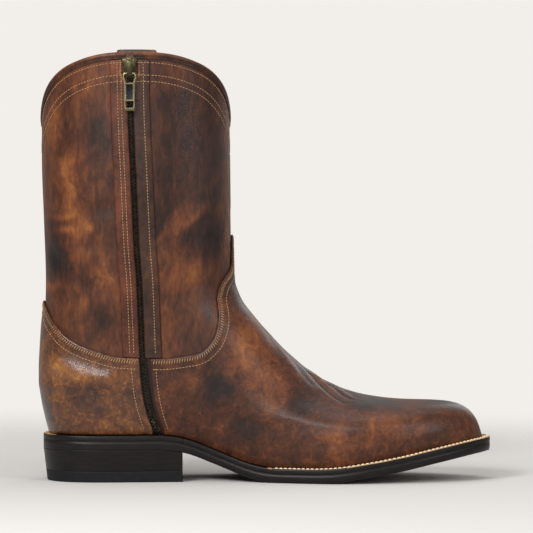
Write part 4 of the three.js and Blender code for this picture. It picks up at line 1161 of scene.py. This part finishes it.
# offset from the shaft's face, rise over the rim
strap_route = np.hstack([
    [GAP + (seat_out - GAP) * smooth(up * 2) + STRAP_SLACK * smooth(up * 1.6),
     -STRAP_OUTER * (1 - up)],
    [middle + radius * np.cos(over), seat_out + STRAP_RISE * np.sin(over)],
    [seat_in + (-WALL - GAP - seat_in) * smooth(down * 1.5), -STRAP_INNER * down],
])
route_steps = steps_along(strap_route.T)
route_steps /= route_steps[-1]


def route_at(v):
    return np.array([np.interp(v, route_steps, column) for column in strap_route])


def over_rim(turn, offset, lift):
    level = collar_level(turn) + np.minimum(lift, 0)
    points = surface(turn, level) + normal_at(turn, level) * np.reshape(offset, (-1, 1))
    points[:, 2] += np.maximum(lift, 0)
    return points


def strap_place(u, v, proud=0.0):
    start, end = (turn_of(STRAP_PLACE + side * STRAP_WIDTH / 2, SHAFT_LEVEL, 1).item()
                  for side in (1, -1))
    turn = start + (end - start) * u
    offset, lift = route_at(v)
    da, db = route_at(v + ROUTE_STEP) - route_at(v - ROUTE_STEP)
    height = (STRAP_THICK + proud) / np.hypot(da, db)
    points = over_rim(turn, offset + db * height, lift - da * height)
    return points, wear_and_painted_light(turn, points, STRAP_TONE)


strap_hide = hide("waxed cowhide, strap", ["#170e0b", "#2b1a14", "#40281c", "#563725", "#6d4830",
                                           "#8b6040"], crack=0.25, streak=3.0, rough=0.5)
strap = put("pull_strap", grid_mesh("pull_strap", 12, 110, strap_place), [strap_hide, cut_edge],
            replaces=("pull_strap",), wall=STRAP_THICK)
soft_edge = strap.modifiers.new("edge", "BEVEL")
soft_edge.width = 0.5 * MM
soft_edge.segments = 2
soft_edge.limit_method = "ANGLE"


# Insole
# A vegetable-tanned board under the foot, seen down the shaft.
dress("insole", plain("vegetable-tanned insole", "#a17c52", "#c19c70", 12, 0.7))


# Welt and heel rand
# A strip of leather sewn round the upper's foot and stitched through to the outsole. Its top is
# left natural from the ball forward, and the waist and heel are inked black with the edge.
WELT_TUCK = 6.5
JOIN = 0.04
NATURAL_FROM = 152
NATURAL_HEEL = 9
STRIP_PROFILE = [
    # share of the way out to the edge, height from the underside as a share of the thickness
    (0.0, 0.0), (0.5, 0.0), (0.985, 0.0), (1.0, 0.06), (1.0, 0.3), (1.0, 0.7), (0.99, 0.90),
    (0.955, 1.0), (0.86, 1.0), (0.5, 1.0), (0.0, 1.0), (0.0, 0.5), (0.0, 0.0),
]
shank_phase = phase_of(HEEL_LENGTH / SOLE_LENGTH).item()


def edge_line(u, from_phase, to_phase):
    phase = from_phase + (to_phase - from_phase) * (1 - np.abs(2 * u - 1))
    return travel(phase), np.where(u <= 0.5, -1.0, 1.0)


def strip_place(from_phase, to_phase):
    def place(u, v):
        share, side = edge_line(u, from_phase, to_phase)
        far = np.array(outline(share, 0, side, HEEL_REACH, WELT_REACH))
        near = np.array(outline(share, 0, side, -WELT_TUCK, -WELT_TUCK))
        out, rise = profile_at(STRIP_PROFILE, v)
        x, y = near + (far - near) * out
        z = welt_top(x) - (WELT_THICKNESS + GAP - JOIN) * (1 - rise)
        return np.stack([x, y, z], 1), {}

    return place


def second_material(mesh, is_second):
    """Faces get the second material where it is so for their slope and place along the boot."""
    for face in mesh.polygons:
        if is_second(face.normal.z, face.center.x / MM + HEEL_REST):
            face.material_index = 1


edge_ink = plain("inked and burnished sole edge", "#0b0908", "#171310", 9, 0.42, bump=0.12,
                 ior=1.32, stretch=(1, 1, 6))
welt_leather = plain("oak-bark welt leather", "#a87f55", "#cfa87a", 6, 0.7)
welt = grid_mesh("welt", 420, 12, strip_place(shank_phase + 0.0001, 1.0), weld=True)
second_material(welt, lambda slope, along: slope > 0.8 and along > NATURAL_FROM)
put("welt", welt, [edge_ink, welt_leather], replaces=("welt",))
rand = grid_mesh("heel_rand", 220, 12, strip_place(shank_phase - 0.0001, 0.0), weld=True)
second_material(rand, lambda slope, along: slope > 0.8 and along < NATURAL_HEEL)
put("heel_rand", rand, [edge_ink, welt_leather], replaces=("heel_rand",))


# Outsole
# One bend of sole leather, trimmed to the welt, its edge inked and burnished and its waist rounded;
# the underside is oiled leather.
SOLE_PROFILE = [
    # across from the inner edge (0) to the outer (1), inset from the edge, height share
    (0.0, 0.0, 1.0), (0.0, 0.0, 0.62), (0.0, 0.0, 0.34), (0.0, 0.35, 0.12), (0.0, 1.2, 0.0),
    (0.2, 0.0, 0.0), (0.4, 0.0, 0.0), (0.6, 0.0, 0.0), (0.8, 0.0, 0.0), (1.0, 1.2, 0.0),
    (1.0, 0.35, 0.12), (1.0, 0.0, 0.34), (1.0, 0.0, 0.62), (1.0, 0.0, 1.0), (0.8, 0.0, 1.0),
    (0.6, 0.0, 1.0), (0.4, 0.0, 1.0), (0.2, 0.0, 1.0), (0.0, 0.0, 1.0),
]
END_INSET = 1.2
END_REACH = 30
HEEL_INSET = 0.04


def sole_place(u, v):
    across, inset, rise = profile_at(SOLE_PROFILE, v)
    (along, inner), (_, outer) = (outline(travel(u), 0, side, HEEL_REACH, WELT_REACH)
                                  for side in (-1, 1))
    width = np.maximum(outer - inner, 1e-6)
    inset = inset * (HEEL_INSET + (1 - HEEL_INSET) * smooth((along - HEEL_LENGTH + 4) / 12))
    shift = np.minimum(inset / width, 0.3)
    from_ends = np.clip(1 - along / END_REACH, 0, 1) \
        - np.clip((along - SOLE_LENGTH + END_REACH) / END_REACH, 0, 1)
    x = along + np.minimum(inset, END_INSET) * from_ends
    y = inner + (outer - inner) * np.clip(across, shift, 1 - shift)
    return np.stack([x, y, tread_height(along) + SOLE_THICKNESS * rise], 1), {}


sole_bottom = plain("oiled sole leather", "#2f1f16", "#5a3d29", 24, 0.6, bump=0.25)
sole = grid_mesh("outsole", 260, 18, sole_place, weld=True)
second_material(sole, lambda slope, along: slope < -0.85)
put("outsole", sole, [edge_ink, sole_bottom], replaces=("outsole",))


# Heel
# Lifts of leather pegged one on another, with a rubber top lift, all trimmed together, tapered
# down a little and inked. The joints between the lifts still show as fine lines.
LIFT_THICKNESS = 7.5
HEEL_TAPER = 2.6
LEATHER_LIFTS = 4
LINE_DEPTH = 0.05
LINE_SHARE = 0.07
EDGE_ROUND = 0.5
EDGE_DEPTH = 0.15
BREAST_SHARE = 0.16


def heel_outline(u, height):
    grow = HEEL_REACH - HEEL_TAPER * (1 - height / HEEL_HEIGHT)
    sides = (1 - BREAST_SHARE) / 2
    step = np.minimum(u, 1 - u) / sides
    side = np.where(u < 0.5, -1.0, 1.0)
    x, y = outline(travel(shank_phase * np.minimum(step, 1)), 0, side, grow, WELT_REACH)
    cross = np.clip((u - sides) / BREAST_SHARE, 0, 1)
    low, high = (outline(travel(shank_phase), 0, end, grow, WELT_REACH)[1] for end in (-1, 1))
    return np.where(step < 1, np.minimum(x, HEEL_LENGTH), HEEL_LENGTH), \
        np.where(step < 1, y, low + (high - low) * cross)


def heel_place(bottom, top_at, lifts):
    def place(u, v):
        high = top_at(heel_outline(u, bottom)[0])
        z = bottom + (high - bottom) * v
        x, y = heel_outline(u, z)
        beat = (z - bottom) / (HEEL_HEIGHT - LIFT_THICKNESS) * lifts
        line = np.exp(-((beat - np.round(beat)) / LINE_SHARE) ** 2) if lifts else 0
        edge = np.clip(1 - np.minimum(z - bottom, high - z) / EDGE_ROUND, 0, 1) ** 2
        from_middle = x - HEEL_LENGTH / 2
        keep = 1 - (LINE_DEPTH * line + EDGE_DEPTH * edge) / np.hypot(from_middle, y)
        return np.stack([HEEL_LENGTH / 2 + from_middle * keep, y * keep, z], 1), {}

    return place


rubber = plain("black rubber top lift", "#0e0e11", "#17181c", 5, 0.62, bump=0.2, ior=1.3)
stack_place = heel_place(LIFT_THICKNESS, lambda along: tread_height(along) - JOIN, LEATHER_LIFTS)
put("heel_stack", grid_mesh("heel_stack", 220, 40, stack_place, weld=True), [edge_ink],
    replaces=("heel_stack",))
lift_place = heel_place(0.0, lambda along: LIFT_THICKNESS, 0)
put("top_lift", grid_mesh("top_lift", 220, 14, lift_place, weld=True), [rubber],
    replaces=("top_lift",))


# Stitching
# Waxed polyester thread in tan, sunk into the leather between its holes: rows along the collar,
# both sides of the zip, the lap of vamp and counter, and the strap; cream linen round the welt.
thread = plain("tan waxed thread", "#86633f", "#b8926a", 1.5, 0.6, bump=0.3)
linen = plain("cream linen thread", "#d9c7a8", "#f2e6cd", 1.5, 0.65, bump=0.3)


def beside(turn, level, distance):
    """Turn and level of places moved across the boot's face, to the upper side of a path."""
    start = surface(turn, level)
    aside = unit(np.cross(normal_at(turn, level), np.gradient(start, axis=0)))
    target = start + aside * distance
    for _ in range(8):
        here = surface(turn, level)
        by_turn = (surface(turn + 1e-4, level) - here) / 1e-4
        by_level = (surface(turn, level + 0.05) - here) / 0.05
        off = target - here
        a, b, c = (by_turn ** 2).sum(1), (by_turn * by_level).sum(1), (by_level ** 2).sum(1)
        d, e = (off * by_turn).sum(1), (off * by_level).sum(1)
        scale = a * c - b * b
        turn = turn + (c * d - b * e) / scale
        level = level + (a * e - b * d) / scale
    return turn, level


def between(points, index):
    whole = np.arange(len(points))
    return np.stack([np.interp(index, whole, column) for column in points.T], 1)


def stitches(name, rows, pitch, length, thick, material=thread, lean=0.0, lift=0.12):
    """Beads of thread along rows of points and normals in the boot's own millimetres."""
    beads = []
    for points, normals in rows:
        index = resample(points, pitch)
        out = unit(between(normals, index))
        run = unit(between(points, index + 0.3) - between(points, index - 0.3))
        beads.append((between(points, index) + out * lift * thick, run, out))
    places, runs, outs = (np.vstack(column) for column in zip(*beads))
    sides = unit(np.cross(outs, runs))
    c, s = math.cos(math.radians(lean)), math.sin(math.radians(lean))
    bead = bmesh.new()
    bmesh.ops.create_uvsphere(bead, u_segments=6, v_segments=5, radius=0.5)
    bmesh.ops.rotate(bead, cent=(0, 0, 0), matrix=Matrix.Rotation(math.pi / 2, 3, "Y"),
                     verts=bead.verts)
    bmesh.ops.scale(bead, vec=(length, thick, thick * 0.8), verts=bead.verts)
    mesh = copies(name, bead, places, runs * c + sides * s, sides * c - runs * s, outs)
    mesh.shade_smooth()
    put(name, mesh, [material])


def laid(turn, level, offset):
    return skin(turn, level, offset), normal_at(turn, level)


def over_facing(turn, level):
    x, y, _ = surface(turn, level).T
    return np.where((np.abs(x - zip_along(level)) < FACING_FAR) & (y < 0), FACING_TOP, 0.0)


# Rows under the rim: depth, and how deep the notch at front and back is where there is one
RIM_ROWS = [(5.6, None), (14.0, 18.0), (18.2, 21.5)]
NOTCH_HALF = 15.0
ZIP_CLEAR = 4.5
MIDDLE_CLEAR = 0.0005
arcs = [(zip_side_turn(ZIP_CLEAR), 0.5 - MIDDLE_CLEAR), (0.5 + MIDDLE_CLEAR, 1 - MIDDLE_CLEAR),
        (1 + MIDDLE_CLEAR, 1 + zip_side_turn(-ZIP_CLEAR))]
collar_rows = []
for depth, notch in RIM_ROWS:
    for start, end in arcs:
        turns = np.linspace(start, end, 500)
        turns, levels = beside(turns, collar_level(turns), -depth)
        keep = (turns > start - 1e-6) & (turns < end + 1e-6)
        if notch:
            keep &= np.abs(surface(turns, levels)[:, 1]) > NOTCH_HALF
        turns, levels = turns[keep], levels[keep]
        collar_rows.append(laid(turns, levels, over_facing(turns, levels)))
        for tip, tip_turn in ((-1, end), (0, start)):
            centre = round(tip_turn * 2) / 2
            if notch and abs(tip_turn - centre) < 0.01:
                notch_turns = turns[tip] + (centre - turns[tip]) * np.linspace(0, 1, 40)
                width = np.abs(surface(notch_turns, levels[tip])[:, 1])
                low = collar_level(centre) - notch
                notch_levels = low + (levels[tip] - low) * width / width[0]
                collar_rows.append(laid(notch_turns, notch_levels, 0.0))
stitches("collar_stitches", collar_rows, 2.2, 1.8, 0.6)

lap_at_zip = lap_level(zip_side_turn(0)).item()
above_lap = (lap_at_zip + 2, zip_top - 6, 600, FACING_TOP)
below_lap = (4, lap_at_zip - 8, 200, LAP_TOP)
zip_rows = []
for beside_zip, (low, high, count, offset) in (
        (-8.2, above_lap), (-5.6, above_lap), (9.0, above_lap), (-8.0, below_lap),
        (8.5, below_lap)):
    levels = np.linspace(low, high, count)
    zip_rows.append(laid(turn_near_zip(levels, beside_zip), levels, offset))
stitches("zip_stitches", zip_rows, 2.1, 1.6, 0.62)

# The lap's edge is whipped with close slanting stitches, and a plain row runs under them
WHIP_DEPTH = 2.6
WHIP_LEAN = 72
ROW_DEPTH = 7.4
LAP_RUNS = [(turn_near_zip(52.0, VAMP_EDGE + 1.5), turn_near_seam(52.0, 1.5)),
            (turn_near_seam(52.0, -1.5), 1 + turn_near_zip(52.0, -4.0))]
whipping, plain_rows = [], []
for beside_seam in (-2.4, 2.4):
    levels = np.linspace(4, lap_level(turn_near_seam(50.0, 0.0)).item() - 9, 200)
    plain_rows.append(laid(turn_near_seam(levels, beside_seam), levels, LAP_TOP))
for start, end in LAP_RUNS:
    base = np.linspace(start.item(), end.item(), 2400)
    whipping.append(laid(*beside(base, lap_level(base), -WHIP_DEPTH), LAP_TOP))
    turns, levels = beside(base, lap_level(base), -ROW_DEPTH)
    order = np.argsort(turns)
    keep = order[(levels[order] < lap_level(turns[order]) - 3.2)
                 & ((turns[order] - 0.5) * (base[order] - 0.5) > 0)
                 & (np.abs(surface(turns[order], levels[order])[:, 1]) > 2)]
    plain_rows.append(laid(turns[keep], levels[keep], LAP_TOP))
stitches("lap_stitches", whipping, 1.75, 2.8, 0.62, lean=WHIP_LEAN)
stitches("lap_row", plain_rows, 2.2, 1.8, 0.6)

# A pointed leaf of close stitch rows below the front of the collar, an old boot ornament
LEAF_TOP, LEAF_LOW, LEAF_HALF, LEAF_HEART = 221.5, 184.0, 9.0, 0.42
leaf_rows = []
front_turns = np.linspace(LEAF_HEART, 1 - LEAF_HEART, 400)
front_across = surface(front_turns, 190.0)[:, 1]
share = np.concatenate([np.linspace(0, 1, 80), np.linspace(1, 0, 80)[1:]])
side = np.where(np.arange(159) < 80, -1.0, 1.0)
for scale in (1.0, 0.78, 0.56, 0.34):
    across = side * LEAF_HALF * scale * np.sin(math.pi * share ** 0.8)
    height = LEAF_TOP - (LEAF_TOP - LEAF_LOW) * (LEAF_HEART + (share - LEAF_HEART) * scale)
    leaf_rows.append(laid(np.interp(across, front_across, front_turns), height - SEAT, 0.0))
stitches("front_leaf", leaf_rows, 1.6, 1.5, 0.6)

strap_rows = []
up_strap, over_strap = np.linspace(0.012, 0.62, 300), np.linspace(0.09, 0.91, 60)
for u, v in ((0.09, up_strap), (0.91, up_strap), (over_strap, 0.016), (over_strap, 0.10)):
    points, lower = (strap_place(u, v, proud)[0] for proud in (0.05, -1.0))
    strap_rows.append((points, unit(points - lower)))
stitches("strap_stitches", strap_rows, 2.3, 1.9, 0.55)

WELT_ROW_INSET = 1.9
WELT_ROW_START = 156
share, side = edge_line(np.linspace(0, 1, 3000), shank_phase, 1.0)
x, y = outline(share, 0, side, HEEL_REACH, WELT_REACH - WELT_ROW_INSET)
welt_points = np.stack([x, y, welt_top(x)], 1)[x > WELT_ROW_START]
stitches("welt_stitches", [(welt_points, np.tile(plumb, (len(welt_points), 1)))], 3.1, 2.6, 1.25,
         material=linen, lift=0.2)
